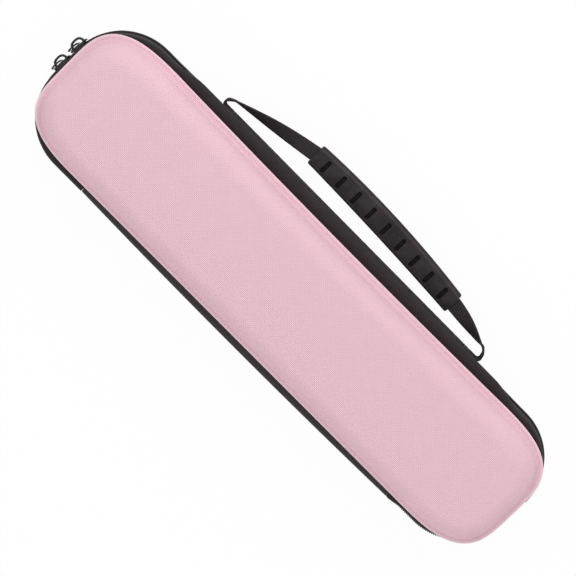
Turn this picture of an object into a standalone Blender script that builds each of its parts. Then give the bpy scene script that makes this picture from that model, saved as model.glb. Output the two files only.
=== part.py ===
"""Flute bag: a moulded hard-shell case with a zip band and a webbing handle.

The case lies on its back shell. X runs along its length, with the zip sliders at the +X end,
the handle is on the -Y side and the hinge on the +Y side. Z is up. Lengths are in metres.
"""

from math import asin, cos, pi, radians, sin

import bmesh
import bpy
from mathutils import Matrix, Vector

# Shells
SHELL_LENGTH = 0.430
SHELL_WIDTH = 0.100
SHELL_CORNER_LENGTH = 0.058
SHELL_CORNER_WIDTH = 0.0410
SHELL_CORNER_POWER = 3.0
HANDLE_SIDE_BOW = 0.0015
BACK_SHELL_DEPTH = 0.0205
FRONT_SHELL_DEPTH = 0.0215
SHELL_WALL = 0.0035
RIM_THICKNESS = 0.0014
FLANGE_WIDTH = 0.0018
FLANGE_FILLET = 0.0030
SHOULDER_REACH = 0.0145
LINING_THICKNESS = 0.0008
BINDING_WIDTH = 0.0024
BINDING_HEIGHT = 0.0016
BINDING_CLEARANCE = 0.0007

# Zip band
BACK_BAND_HEIGHT = 0.0135
FRONT_BAND_HEIGHT = 0.0065
ZIP_SIDE_STANDOFF = 0.0030
ZIP_END_STANDOFF = 0.0011
ZIP_CORNER_RADIUS = 0.0404
CHAIN_THICKNESS = 0.0020
CHAIN_HALF_HEIGHT = 0.0023
CHAIN_SLOT = 0.0014
TAPE_THICKNESS = 0.0007
TAPE_TUCK = 0.0060
TAPE_LEAST_FLARE = 0.0006
BACK_TAPE_HEIGHT = 0.0050
GUSSET_THICKNESS = 0.0010
GUSSET_CURVE = 0.0032
GUSSET_ZIP_GAP = 0.0018
ZIP_TAB_LENGTH = 0.0080
ZIP_TAB_THICKNESS = 0.0026

# Hinge band
HINGE_BAND_SETBACK = 0.0277
HINGE_BAND_THICKNESS = 0.0012
HINGE_BAND_STANDOFF = 0.0008
HINGE_BAND_BOW = 0.0018

# Handle
STRAP_WIDTH = 0.0110
STRAP_THICKNESS = 0.0016
STRAP_HEIGHT = 0.0246
ANCHOR_X = 0.1214
ANCHOR_FOLD_RADIUS = 0.0026
NEAR_FOLD_END = 65.0
NEAR_JOINT_SETBACK = 0.0033
NEAR_JOINT_STANDOFF = 0.0069
FAR_FOLD_END = 10.0
FAR_BEND_RADIUS = 0.0065
FAR_JOINT_SETBACK = 0.0052
FAR_JOINT_STANDOFF = 0.0097
HANDLE_JOINT_RUN = 0.0010
STRAP_LEG_BELLY = 0.0006
STRAP_TWIST_POWER = 1.2
GRIP_LENGTH = 0.1387
GRIP_OFFSET = 0.0149
GRIP_END_WIDTH = 0.0163
GRIP_MIDDLE_WIDTH = 0.0186
GRIP_THICKNESS = 0.0088
GRIP_NEAR_STANDOFF = 0.0204
GRIP_FAR_STANDOFF = 0.0157
GRIP_CROWN = 0.0020
GRIP_CORNER_ROUND = 0.0030
GRIP_GROOVE_COUNT = 9
GRIP_GROOVE_PITCH = 0.0146
GRIP_GROOVE_WIDTH = 0.0021
GRIP_GROOVE_LENGTH = 0.0098
GRIP_GROOVE_DEPTH = 0.0014

# Zip sliders and pulls
SLIDER_LENGTH = 0.0140
SLIDER_WIDTH = 0.0080
SLIDER_PLATE = 0.0012
SLIDER_CLEARANCE = 0.0003
SLIDER_CURVE_ROOM = 0.0010
SLIDER_POST_LENGTH = 0.0030
SLIDER_POST_THICKNESS = 0.0008
SLIDER_EDGE_ROUND = 0.0018
CROWN_LENGTH = 0.0106
CROWN_HEIGHT = 0.0064
CROWN_BAR = 0.0013
CROWN_WIDTH = 0.0026
HANDLE_SIDE_SLIDER_Y = -0.0148
HINGE_SIDE_SLIDER_Y = 0.0016
PULL_LENGTH = 0.0150
PULL_WIDTH = 0.0092
PULL_WIRE = 0.0012
PULL_HOOK_DEGREES = 22.0

# Inside
TRAY_TOP_ABOVE_RIM = 0.0090
CAVITY_DEPTH = 0.0200
CAVITY_CORNER = 0.0015
BODY_CAVITY_SETBACK = 0.0370
BODY_CAVITY_WIDTH = 0.0300
HEAD_CAVITY_LENGTH = 0.228
SHORT_ROW_SETBACK = 0.03475
SHORT_CAVITY_WIDTH = 0.0280
CAVITY_DIVIDER = 0.0045
FINGER_NOTCH_RADIUS = 0.0110
FINGER_NOTCH_DEPTH = 0.0140
PAD_THICKNESS = 0.0035
POCKET_NET_THICKNESS = 0.0006
POCKET_NET_RISE = 0.0025
POCKET_MOUTH_Y = -0.0140
POCKET_HEM_WIDTH = 0.0060
POCKET_HEM_THICKNESS = 0.0014
POCKET_BORDER_WIDTH = 0.0040
POCKET_BORDER_THICKNESS = 0.0012

# Clearance between touching pieces, overrun of cutters
GAP = 0.0003
FOLD_GAP = 0.0003
OVERRUN = 0.002

# Shares of a size
COIL_SHOULDER_SHARE = 0.25
TAB_ROUND_SHARE = 0.25
BORE_CORNER_SHARE = 0.25

# Facet counts
CORNER_STEPS = 8
LONG_SIDE_STEPS = 8
SHOULDER_STEPS = 5
FILLET_STEPS = 3
FLARE_STEPS = 3
LEG_STEPS = 10
GRIP_STEPS = 12
FOLD_STEPS = 6
CROWN_STEPS = 8
PULL_STEPS = 16
WIRE_SIDES = 6
NOTCH_SIDES = 16
ROUND_STEPS = 3
HALVING_STEPS = 30
QUARTER_TURN = 90.0
SHARP_DEGREES = 35

# Levels worked out from the sizes above
BACK_RIM_Z = BACK_SHELL_DEPTH
ZIP_Z = BACK_RIM_Z + BACK_BAND_HEIGHT
FRONT_RIM_Z = ZIP_Z + FRONT_BAND_HEIGHT
CHAIN_INNER_Z = CHAIN_SLOT / 2
CHAIN_OUTER_Z = CHAIN_INNER_Z + CHAIN_HALF_HEIGHT
HALF_LENGTH = SHELL_LENGTH / 2
HALF_WIDTH = SHELL_WIDTH / 2
ZIP_HALF_LENGTH = HALF_LENGTH + ZIP_END_STANDOFF
ZIP_HALF_WIDTH = HALF_WIDTH + ZIP_SIDE_STANDOFF
ZIP_CORNER_X = ZIP_HALF_LENGTH - ZIP_CORNER_RADIUS
ZIP_CORNER_Y = ZIP_HALF_WIDTH - ZIP_CORNER_RADIUS
HINGE_BAND_END = ZIP_CORNER_X - HINGE_BAND_SETBACK
WALL_LINE = FLANGE_WIDTH + FLANGE_FILLET
GUSSET_OFFSET = TAPE_THICKNESS / 2 + GAP + GUSSET_THICKNESS / 2
GUSSET_FACE_Y = ZIP_HALF_WIDTH + GUSSET_OFFSET + GUSSET_THICKNESS / 2
STRAP_LINE_Y = GUSSET_FACE_Y + GAP + STRAP_THICKNESS / 2
NEAR_JOINT = (ANCHOR_X - NEAR_JOINT_SETBACK, STRAP_LINE_Y + NEAR_JOINT_STANDOFF)
FAR_JOINT = (ANCHOR_X - FAR_JOINT_SETBACK, STRAP_LINE_Y + FAR_JOINT_STANDOFF)
HANDLE_AXIS_SLOPE = (NEAR_JOINT[1] - FAR_JOINT[1]) / (NEAR_JOINT[0] + FAR_JOINT[0])
HANDLE_AXIS_Y = NEAR_JOINT[1] - NEAR_JOINT[0] * HANDLE_AXIS_SLOPE
HINGE_FACE_Y = ZIP_HALF_WIDTH + HINGE_BAND_STANDOFF + HINGE_BAND_BOW + HINGE_BAND_THICKNESS / 2
HINGE_AXIS_Y = HINGE_FACE_Y + FOLD_GAP
BODY_CAVITY_LENGTH = SHELL_LENGTH - 2 * BODY_CAVITY_SETBACK
SHORT_ROW_LENGTH = SHELL_LENGTH - 2 * SHORT_ROW_SETBACK
FOOT_CAVITY_LENGTH = SHORT_ROW_LENGTH - CAVITY_DIVIDER - HEAD_CAVITY_LENGTH

# Colour, roughness and metallic value of each finish
FINISHES = {
    "pink_weave": ((0.80, 0.52, 0.58), 0.85, 0.0),
    "black_weave": ((0.045, 0.038, 0.040), 0.80, 0.0),
    "black_coil": ((0.030, 0.027, 0.028), 0.45, 0.0),
    "black_rubber": ((0.055, 0.050, 0.052), 0.60, 0.0),
    "black_metal": ((0.060, 0.058, 0.060), 0.32, 0.85),
    "black_plush": ((0.020, 0.020, 0.022), 0.95, 0.0),
    "black_lining": ((0.035, 0.033, 0.036), 0.85, 0.0),
    "black_net": ((0.040, 0.038, 0.040), 0.70, 0.0),
}


def clear_scene():
    for item in list(bpy.data.objects):
        bpy.data.objects.remove(item, do_unlink=True)


def give_finish(item, finish):
    colour, roughness, metallic = FINISHES[finish]
    material = bpy.data.materials.new(item.name + "_" + finish)
    material.use_nodes = True
    shader = material.node_tree.nodes["Principled BSDF"]
    shader.inputs["Base Color"].default_value = (*colour, 1.0)
    shader.inputs["Roughness"].default_value = roughness
    shader.inputs["Metallic"].default_value = metallic
    item.data.materials.clear()
    item.data.materials.append(material)


def object_from_bmesh(name, mesh_data, finish):
    bmesh.ops.recalc_face_normals(mesh_data, faces=mesh_data.faces)
    mesh = bpy.data.meshes.new(name)
    mesh_data.to_mesh(mesh)
    mesh_data.free()
    item = bpy.data.objects.new(name, mesh)
    bpy.context.scene.collection.objects.link(item)
    mesh.shade_smooth()
    mesh.set_sharp_from_angle(angle=radians(SHARP_DEGREES))
    give_finish(item, finish)
    return item


def set_axis(item, point):
    """Moves an object's origin to a point of its joint's axis and leaves its shape in place."""
    offset = Vector(point)
    item.data.transform(Matrix.Translation(-offset))
    item.location = offset


def loft(name, rings, finish, closed=False, joined=False):
    """Skins a row of rings; the end rings are capped, or joined to each other."""
    mesh_data = bmesh.new()
    rows = [[mesh_data.verts.new(point) for point in ring] for ring in rings]
    pairs = list(zip(rows, rows[1:]))
    if joined:
        pairs.append((rows[-1], rows[0]))
    for lower, upper in pairs:
        for index in range(len(lower)):
            after = (index + 1) % len(lower)
            mesh_data.faces.new((lower[index], lower[after], upper[after], upper[index]))
    if closed:
        mesh_data.faces.new(rows[0])
        mesh_data.faces.new(rows[-1])
    return object_from_bmesh(name, mesh_data, finish)


def strip(name, rows, thickness, finish):
    """Makes a sheet from rows of points and thickens it evenly about its middle."""
    mesh_data = bmesh.new()
    grid = [[mesh_data.verts.new(point) for point in row] for row in rows]
    for before, after in zip(grid, grid[1:]):
        for index in range(len(before) - 1):
            mesh_data.faces.new((before[index], before[index + 1], after[index + 1], after[index]))
    item = object_from_bmesh(name, mesh_data, finish)
    thicken = item.modifiers.new("thickness", "SOLIDIFY")
    thicken.thickness = thickness
    thicken.offset = 0.0
    thicken.use_even_offset = True
    return item


def cut(item, cutter):
    """Subtracts a hidden cutter from an object."""
    cutter.hide_render = True
    cutter.display_type = "WIRE"
    boolean = item.modifiers.new("cut_" + cutter.name, "BOOLEAN")
    boolean.operation = "DIFFERENCE"
    boolean.solver = "EXACT"
    boolean.object = cutter


def block(name, size, centre, finish, round_radius=0.0, round_steps=ROUND_STEPS):
    """Makes a box with rounded upright edges."""
    mesh_data = bmesh.new()
    bmesh.ops.create_cube(mesh_data, size=1.0)
    bmesh.ops.scale(mesh_data, vec=Vector(size), verts=mesh_data.verts)
    bmesh.ops.translate(mesh_data, vec=Vector(centre), verts=mesh_data.verts)
    if round_radius > 0:
        upright = [edge for edge in mesh_data.edges
                   if abs(edge.verts[0].co.z - edge.verts[1].co.z) > size[2] / 2]
        bmesh.ops.bevel(mesh_data, geom=upright, offset=round_radius, segments=round_steps,
                        affect="EDGES", profile=0.5)
    return object_from_bmesh(name, mesh_data, finish)


# Plan outline of the shells

def side_bow(x, half_straight, y_sign):
    """Inward bow of a long side: the handle side dips in at the middle."""
    if y_sign > 0 or abs(x) >= half_straight:
        return 0.0
    return HANDLE_SIDE_BOW * (1 - (x / half_straight) ** 2)


def shell_ring(inset, z):
    """Outline of the shell at an inset from its rim, counter-clockwise from the +X end."""
    half_x = HALF_LENGTH - inset
    half_y = HALF_WIDTH - inset
    reach_x = SHELL_CORNER_LENGTH - inset
    reach_y = SHELL_CORNER_WIDTH - inset
    straight = half_x - reach_x
    bend = 2 / SHELL_CORNER_POWER
    quadrants = ((1, 1, False), (-1, 1, True), (-1, -1, False), (1, -1, True))
    points = []
    for x_sign, y_sign, backwards in quadrants:
        steps = range(CORNER_STEPS + 1)
        for step in reversed(steps) if backwards else steps:
            turn = pi / 2 * step / CORNER_STEPS
            x = straight + reach_x * max(cos(turn), 0.0) ** bend
            y = half_y - reach_y + reach_y * max(sin(turn), 0.0) ** bend
            points.append(Vector((x_sign * x, y_sign * y, z)))
        if x_sign == y_sign:
            for step in range(1, LONG_SIDE_STEPS):
                x = y_sign * straight * (1 - 2 * step / LONG_SIDE_STEPS)
                y = y_sign * (half_y - side_bow(x, straight, y_sign))
                points.append(Vector((x, y, z)))
    return points


def outline_level(x, y, inset):
    """Negative inside the shell's outline at an inset, positive outside it."""
    reach_x = SHELL_CORNER_LENGTH - inset
    reach_y = SHELL_CORNER_WIDTH - inset
    straight_x = HALF_LENGTH - SHELL_CORNER_LENGTH
    straight_y = HALF_WIDTH - SHELL_CORNER_WIDTH
    over_x = max(abs(x) - straight_x, 0.0) / reach_x
    over_y = max(abs(y) + side_bow(x, straight_x, y) - straight_y, 0.0) / reach_y
    return over_x ** SHELL_CORNER_POWER + over_y ** SHELL_CORNER_POWER - 1


def distance_to_shell(station, inset):
    """How far inside the zip line the shell's outline lies, along the zip line's normal."""
    point, normal = station
    near, far = -HALF_WIDTH / 2, HALF_WIDTH / 2
    for _ in range(HALVING_STEPS):
        middle = (near + far) / 2
        probe = point - normal * middle
        if outline_level(probe.x, probe.y, inset) > 0:
            near = middle
        else:
            far = middle
    return (near + far) / 2


# Profiles of the shells

def wall_profile(depth, offset, rim_height=0.0):
    """Inset and height of a surface that lies inside the shell's outer face by an offset."""
    foot = RIM_THICKNESS + FLANGE_FILLET
    rise = depth - foot - offset
    reach = SHOULDER_REACH - offset
    profile = [(WALL_LINE + offset, rim_height)]
    for step in range(SHOULDER_STEPS + 1):
        turn = pi / 2 * step / SHOULDER_STEPS
        profile.append((WALL_LINE + offset + reach * (1 - cos(turn)), foot + rise * sin(turn)))
    return profile


def outer_profile(depth):
    """The shell's outer face: pressed rim, hollow fillet, wall and round shoulder."""
    profile = [(0.0, 0.0), (0.0, RIM_THICKNESS)]
    for step in range(FILLET_STEPS):
        turn = pi / 2 * step / FILLET_STEPS
        profile.append((FLANGE_WIDTH + FLANGE_FILLET * sin(turn),
                        RIM_THICKNESS + FLANGE_FILLET * (1 - cos(turn))))
    return profile + wall_profile(depth, 0.0)[1:]


def rings_from_profile(profile, rim_z, direction):
    return [shell_ring(inset, rim_z + direction * height) for inset, height in profile]


def make_bowl(name, rim_z, direction, depth, outer, inner, finish):
    """Makes a shell or lining between two surfaces, with its mouth at the rim."""
    outer_rings = rings_from_profile(outer, rim_z, direction)
    inner_rings = rings_from_profile(wall_profile(depth, inner), rim_z, direction)
    return loft(name, outer_rings[::-1] + inner_rings, finish, closed=True)


def make_shells():
    lining_outer = SHELL_WALL + GAP
    lining_inner = lining_outer + LINING_THICKNESS
    halves = (("back", BACK_RIM_Z, -1, BACK_SHELL_DEPTH), ("front", FRONT_RIM_Z, 1, FRONT_SHELL_DEPTH))
    for side, rim_z, direction, depth in halves:
        make_bowl(side + "_shell", rim_z, direction, depth, outer_profile(depth), SHELL_WALL,
                  "pink_weave")
        make_bowl(side + "_lining", rim_z, direction, depth, wall_profile(depth, lining_outer),
                  lining_inner, "black_lining")


def make_binding(name, rim_z, direction):
    """Bias binding over the seam, just inside the rim."""
    outer = TAPE_TUCK + BINDING_CLEARANCE
    inner = outer + BINDING_WIDTH
    near = rim_z - direction * GAP
    far = near - direction * BINDING_HEIGHT
    rings = [shell_ring(outer, near), shell_ring(outer, far),
             shell_ring(inner, far), shell_ring(inner, near)]
    return loft(name, rings, "black_weave", joined=True)


# Zip line

def zip_corner(x_sign, y_sign, from_end):
    """Stations round one corner, from the short end or towards it."""
    stations = []
    for step in range(CORNER_STEPS + 1):
        turn = pi / 2 * step / CORNER_STEPS
        if not from_end:
            turn = pi / 2 - turn
        normal = Vector((x_sign * cos(turn), y_sign * sin(turn), 0))
        corner = Vector((x_sign * ZIP_CORNER_X, y_sign * ZIP_CORNER_Y, 0))
        stations.append((corner + normal * ZIP_CORNER_RADIUS, normal))
    return stations


def zip_stations(start_x):
    """Stations of the zip line, from the hinge band round both ends and the handle side."""
    hinge_side = Vector((0, 1, 0))
    handle_side = Vector((0, -1, 0))
    stations = [(Vector((start_x, ZIP_HALF_WIDTH, 0)), hinge_side)]
    stations += zip_corner(1, 1, False) + zip_corner(1, -1, True)
    for step in range(1, LONG_SIDE_STEPS):
        x = ZIP_CORNER_X * (1 - 2 * step / LONG_SIDE_STEPS)
        stations.append((Vector((x, -ZIP_HALF_WIDTH, 0)), handle_side))
    stations += zip_corner(-1, -1, False) + zip_corner(-1, 1, True)
    stations.append((Vector((-start_x, ZIP_HALF_WIDTH, 0)), hinge_side))
    return stations


def band_point(station, outward, z):
    point, normal = station
    return point + normal * outward + Vector((0, 0, z))


def flare(station, tuck_z, outward, turn_z):
    """Points of a tape that runs out from under the rim and turns up or down to the zip."""
    start = -max(distance_to_shell(station, 0.0), TAPE_LEAST_FLARE - outward)
    points = [band_point(station, -distance_to_shell(station, TAPE_TUCK), tuck_z)]
    for step in range(FLARE_STEPS + 1):
        turn = pi / 2 * step / FLARE_STEPS
        across = start + (outward - start) * sin(turn)
        points.append(band_point(station, across, turn_z + (tuck_z - turn_z) * cos(turn)))
    return points


def make_tapes():
    start_x = HINGE_BAND_END + FOLD_GAP
    tuck_z = FRONT_RIM_Z - GAP - TAPE_THICKNESS / 2
    end_z = ZIP_Z + CHAIN_OUTER_Z + GAP
    rows = [flare(station, tuck_z, 0.0, end_z) for station in zip_stations(start_x)]
    strip("front_zip_tape", rows, TAPE_THICKNESS, "black_weave")
    top_z = ZIP_Z - CHAIN_OUTER_Z - GAP
    rows = [[band_point(station, 0.0, top_z), band_point(station, 0.0, top_z - BACK_TAPE_HEIGHT)]
            for station in zip_stations(start_x)]
    strip("back_zip_tape", rows, TAPE_THICKNESS, "black_weave")


def make_gusset():
    """Fabric gusset from the back rim up behind the zip tape."""
    start_x = HINGE_BAND_END + FOLD_GAP
    tuck_z = BACK_RIM_Z + GAP + GUSSET_THICKNESS / 2
    top_z = ZIP_Z - CHAIN_OUTER_Z - GUSSET_ZIP_GAP
    rows = []
    for station in zip_stations(start_x):
        row = flare(station, tuck_z, GUSSET_OFFSET, tuck_z + GUSSET_CURVE)
        row.append(band_point(station, GUSSET_OFFSET, top_z))
        rows.append(row)
    strip("back_gusset", rows, GUSSET_THICKNESS, "black_weave")


def make_chain(name, direction):
    """Half of the zip chain, with its coil side rounded."""
    start_x = HINGE_BAND_END + ZIP_TAB_LENGTH + GAP
    half = CHAIN_THICKNESS / 2
    near = ZIP_Z + direction * CHAIN_INNER_Z
    far = ZIP_Z + direction * CHAIN_OUTER_Z
    shoulder = far - direction * CHAIN_HALF_HEIGHT * COIL_SHOULDER_SHARE
    section = ((-half, near), (half, near), (half, shoulder),
               (half / 2, far), (-half / 2, far), (-half, shoulder))
    rings = [[band_point(station, across, z) for across, z in section]
             for station in zip_stations(start_x)]
    return loft(name, rings, "black_coil", closed=True)


def make_zip_tabs():
    """Fabric tabs that close the zip's two ends at the hinge band."""
    height = CHAIN_OUTER_Z
    centre_x = HINGE_BAND_END + GAP + ZIP_TAB_LENGTH / 2
    for name, x_sign in (("near_zip_tab", 1), ("far_zip_tab", -1)):
        size = (ZIP_TAB_LENGTH - GAP, ZIP_TAB_THICKNESS, height - FOLD_GAP)
        centre = (x_sign * centre_x, ZIP_HALF_WIDTH, ZIP_Z - height / 2 - FOLD_GAP / 2)
        block(name, size, centre, "black_weave", ZIP_TAB_THICKNESS * TAB_ROUND_SHARE)


# Hinge band

def hinge_stations():
    """Stations along the hinge band, which bows out towards the middle of the case."""
    half = HINGE_BAND_END
    stations = []
    for step in range(LONG_SIDE_STEPS + 1):
        x = half * (1 - 2 * step / LONG_SIDE_STEPS)
        bow = HINGE_BAND_BOW * (1 - (x / half) ** 2)
        stations.append(((Vector((x, ZIP_HALF_WIDTH, 0)), Vector((0, 1, 0))), HINGE_BAND_STANDOFF + bow))
    return stations


def make_hinge_band(name, rim_z, direction):
    tuck_z = rim_z - direction * (GAP + HINGE_BAND_THICKNESS / 2)
    fold_z = ZIP_Z + direction * FOLD_GAP / 2
    turn_z = (tuck_z + fold_z) / 2
    rows = []
    for station, outward in hinge_stations():
        row = flare(station, tuck_z, outward, turn_z)
        row.append(band_point(station, outward, fold_z))
        rows.append(row)
    return strip(name, rows, HINGE_BAND_THICKNESS, "black_weave")


# Handle

def ribbon(name, path, finish):
    """Webbing along a path of (centre, width direction) pairs."""
    half = STRAP_WIDTH / 2
    rows = [[centre - across.normalized() * half, centre + across.normalized() * half]
            for centre, across in path]
    return strip(name, rows, STRAP_THICKNESS, finish)


def arc(centre_x, centre_y, radius, start, end):
    """Points round part of a circle, from one angle in degrees to another."""
    turns = [radians(start + (end - start) * step / FOLD_STEPS) for step in range(FOLD_STEPS + 1)]
    return [(centre_x + radius * cos(turn), centre_y + radius * sin(turn)) for turn in turns]


def anchor_fold(x_sign):
    """Plan route of the webbing from the gusset, round its fold and out to the handle's joint."""
    joint_x, joint_y = NEAR_JOINT if x_sign > 0 else FAR_JOINT
    run_x = joint_x + HANDLE_JOINT_RUN
    fold_end = NEAR_FOLD_END if x_sign > 0 else FAR_FOLD_END
    fold_y = STRAP_LINE_Y + ANCHOR_FOLD_RADIUS
    points = [(ANCHOR_X - 2 * ANCHOR_FOLD_RADIUS, STRAP_LINE_Y)]
    points += arc(ANCHOR_X, fold_y, ANCHOR_FOLD_RADIUS, -QUARTER_TURN, fold_end)
    if x_sign < 0:
        bend = arc(run_x, joint_y - FAR_BEND_RADIUS, FAR_BEND_RADIUS, fold_end, QUARTER_TURN)
        points += bend[:-1]
    points += [(run_x, joint_y), (joint_x, joint_y)]
    return [Vector((x_sign * x, -y, STRAP_HEIGHT)) for x, y in points]


def make_base_strap():
    """Lower leg of the webbing along the gusset, with the fold at each anchor."""
    near = anchor_fold(1)
    far = anchor_fold(-1)
    upright = Vector((0, 0, 1))
    path = [(point, upright) for point in near[::-1] + far]
    return ribbon("handle_base_strap", path, "black_weave")


def grip_centre(share):
    """Centre line of the grip, from its near end at 0 to its far end at 1."""
    x = -GRIP_OFFSET + GRIP_LENGTH * (0.5 - share)
    standoff = GRIP_NEAR_STANDOFF + (GRIP_FAR_STANDOFF - GRIP_NEAR_STANDOFF) * share
    crown = GRIP_CROWN * 4 * share * (1 - share)
    return Vector((x, -(STRAP_LINE_Y + standoff + crown), STRAP_HEIGHT))


def strap_leg(x_sign, grip_end):
    """One leg of the webbing: it starts on edge at the joint and lies flat at the grip."""
    joint_x, joint_y = NEAR_JOINT if x_sign > 0 else FAR_JOINT
    joint = Vector((x_sign * (joint_x - GAP), -joint_y, STRAP_HEIGHT))
    start = joint - Vector((x_sign * HANDLE_JOINT_RUN, 0, 0))
    path = [(joint, Vector((0, 0, 1)))]
    for step in range(LEG_STEPS):
        share = step / LEG_STEPS
        belly = Vector((0, STRAP_LEG_BELLY * sin(pi * share), 0))
        turn = pi / 2 * (1 - share) ** STRAP_TWIST_POWER
        path.append((start.lerp(grip_end, share) - belly, Vector((0, -cos(turn), sin(turn)))))
    return path


def make_handle_strap():
    near = strap_leg(1, grip_centre(0.0))
    far = strap_leg(-1, grip_centre(1.0))
    flat = Vector((0, -1, 0))
    middle = [(grip_centre(step / GRIP_STEPS), flat) for step in range(GRIP_STEPS + 1)]
    item = ribbon("handle_strap", near + middle + far[::-1], "black_weave")
    set_axis(item, (0, -HANDLE_AXIS_Y, STRAP_HEIGHT))
    return item


def grip_ring(share, half_width, half_height, corner):
    """Rounded section of the grip or of its bore, square to the X axis."""
    centre = grip_centre(share)
    points = []
    for y_sign, z_sign, backwards in ((1, 1, False), (-1, 1, True), (-1, -1, False), (1, -1, True)):
        turns = (0, pi / 4, pi / 2)
        for turn in reversed(turns) if backwards else turns:
            y = y_sign * (half_width - corner + corner * cos(turn))
            z = z_sign * (half_height - corner + corner * sin(turn))
            points.append(centre + Vector((0, y, z)))
    return points


def make_grip():
    """Rubber sleeve on the webbing, widest at its middle, with cross grooves on both faces."""
    half_height = GRIP_THICKNESS / 2
    outer = []
    bore = []
    for step in range(GRIP_STEPS + 1):
        share = step / GRIP_STEPS
        swell = (GRIP_MIDDLE_WIDTH - GRIP_END_WIDTH) * 4 * share * (1 - share)
        outer.append(grip_ring(share, (GRIP_END_WIDTH + swell) / 2, half_height, GRIP_CORNER_ROUND))
        bore.append(grip_ring(share, STRAP_WIDTH / 2 + 2 * GAP, STRAP_THICKNESS / 2 + GAP,
                              STRAP_THICKNESS * BORE_CORNER_SHARE))
    item = loft("handle_grip", outer + bore[::-1], "black_rubber", joined=True)
    cut(item, grip_cutter())
    set_axis(item, (0, -HANDLE_AXIS_Y, STRAP_HEIGHT))
    return item


def grip_cutter():
    """One block for each groove on the front and the back face of the grip."""
    mesh_data = bmesh.new()
    height = 2 * GRIP_GROOVE_DEPTH
    for index in range(GRIP_GROOVE_COUNT):
        place = (index - (GRIP_GROOVE_COUNT - 1) / 2) * GRIP_GROOVE_PITCH
        centre = grip_centre(0.5 + place / GRIP_LENGTH)
        for z_sign in (1, -1):
            made = bmesh.ops.create_cube(mesh_data, size=1.0)["verts"]
            size = Vector((GRIP_GROOVE_WIDTH, GRIP_GROOVE_LENGTH, height))
            bmesh.ops.scale(mesh_data, vec=size, verts=made)
            level = Vector((0, 0, z_sign * GRIP_THICKNESS / 2))
            bmesh.ops.translate(mesh_data, vec=centre + level, verts=made)
    return object_from_bmesh("grip_groove_cutter", mesh_data, "black_rubber")


# Zip sliders and pulls, drawn with the zip line along local Y and outward along local X

def add_box(mesh_data, low, high):
    made = bmesh.ops.create_cube(mesh_data, size=1.0)["verts"]
    size = Vector(high) - Vector(low)
    bmesh.ops.scale(mesh_data, vec=size, verts=made)
    bmesh.ops.translate(mesh_data, vec=(Vector(high) + Vector(low)) / 2, verts=made)


def slider_plate(name, low_x, high_x):
    """One plate of the slider, rounded at its corners."""
    mesh_data = bmesh.new()
    half_length = SLIDER_LENGTH / 2
    half_width = SLIDER_WIDTH / 2
    add_box(mesh_data, (low_x, -half_length, -half_width), (high_x, half_length, half_width))
    along = [edge for edge in mesh_data.edges
             if abs(edge.verts[0].co.x - edge.verts[1].co.x) > (high_x - low_x) / 2]
    bmesh.ops.bevel(mesh_data, geom=along, offset=SLIDER_EDGE_ROUND, segments=ROUND_STEPS,
                    affect="EDGES", profile=0.5)
    return object_from_bmesh(name, mesh_data, "black_metal")


def crown_arch(name, base_x):
    """Arched crown that the pull hangs on."""
    half_length = CROWN_LENGTH / 2
    rings = []
    for step in range(CROWN_STEPS + 1):
        turn = pi * step / CROWN_STEPS
        across = Vector((0, cos(turn), 0))
        lift = Vector((sin(turn), 0, 0))
        outer = across * half_length + lift * CROWN_HEIGHT
        inner = across * (half_length - CROWN_BAR) + lift * (CROWN_HEIGHT - CROWN_BAR)
        base = Vector((base_x, 0, 0))
        depth = Vector((0, 0, CROWN_WIDTH / 2))
        rings.append([base + outer - depth, base + outer + depth,
                      base + inner + depth, base + inner - depth])
    return loft(name, rings, "black_metal", closed=True)


def join_solids(item, others):
    """Fuses helper solids into one body."""
    for other in others:
        other.hide_render = True
        other.display_type = "WIRE"
        union = item.modifiers.new("join_" + other.name, "BOOLEAN")
        union.operation = "UNION"
        union.solver = "EXACT"
        union.object = other


def make_slider(name, nose_sign, centre, turn):
    """A slider: plates inside and outside the chain, joined by a post at its nose."""
    inner_face = -CHAIN_THICKNESS / 2 - SLIDER_CURVE_ROOM
    outer_face = CHAIN_THICKNESS / 2 + SLIDER_CLEARANCE
    body = slider_plate(name, outer_face, outer_face + SLIDER_PLATE)
    inner = slider_plate(name + "_inner_plate", inner_face - SLIDER_PLATE, inner_face)
    mesh_data = bmesh.new()
    nose = nose_sign * (SLIDER_LENGTH / 2 - SLIDER_EDGE_ROUND)
    tail = nose - nose_sign * SLIDER_POST_LENGTH
    half = SLIDER_POST_THICKNESS / 2
    bite = SLIDER_PLATE / 2
    low = (inner_face - bite, min(nose, tail), -half)
    add_box(mesh_data, low, (outer_face + bite, max(nose, tail), half))
    post = object_from_bmesh(name + "_post", mesh_data, "black_metal")
    crown = crown_arch(name + "_crown", outer_face + SLIDER_PLATE / 2)
    place = Matrix.Translation(centre) @ Matrix.Rotation(turn, 4, "Z")
    for item in (body, inner, post, crown):
        item.data.transform(place)
    join_solids(body, (inner, post, crown))
    return body


def pull_loop(name, hook, turn):
    """Wire pull: a long loop that hangs down round the crown's leg."""
    half_wide = (PULL_WIDTH - PULL_WIRE) / 2
    straight = (PULL_LENGTH - PULL_WIDTH) / 2
    rings = []
    for step in range(PULL_STEPS):
        angle = 2 * pi * (step + 0.5) / PULL_STEPS
        side = Vector((0, cos(angle), sin(angle)))
        middle = side * half_wide + Vector((0, 0, straight if sin(angle) > 0 else -straight))
        ring = []
        for corner in range(WIRE_SIDES):
            spin = 2 * pi * corner / WIRE_SIDES
            ring.append(middle + (side * cos(spin) + Vector((sin(spin), 0, 0))) * PULL_WIRE / 2)
        rings.append(ring)
    item = loft(name, rings, "black_metal", joined=True)
    drop = PULL_LENGTH / 2 - PULL_WIRE - CROWN_WIDTH / 2 - GAP
    hang = Matrix.Translation((0, 0, -drop))
    item.data.transform(Matrix.Translation(hook) @ Matrix.Rotation(turn, 4, "Z") @ hang)
    return item


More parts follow.
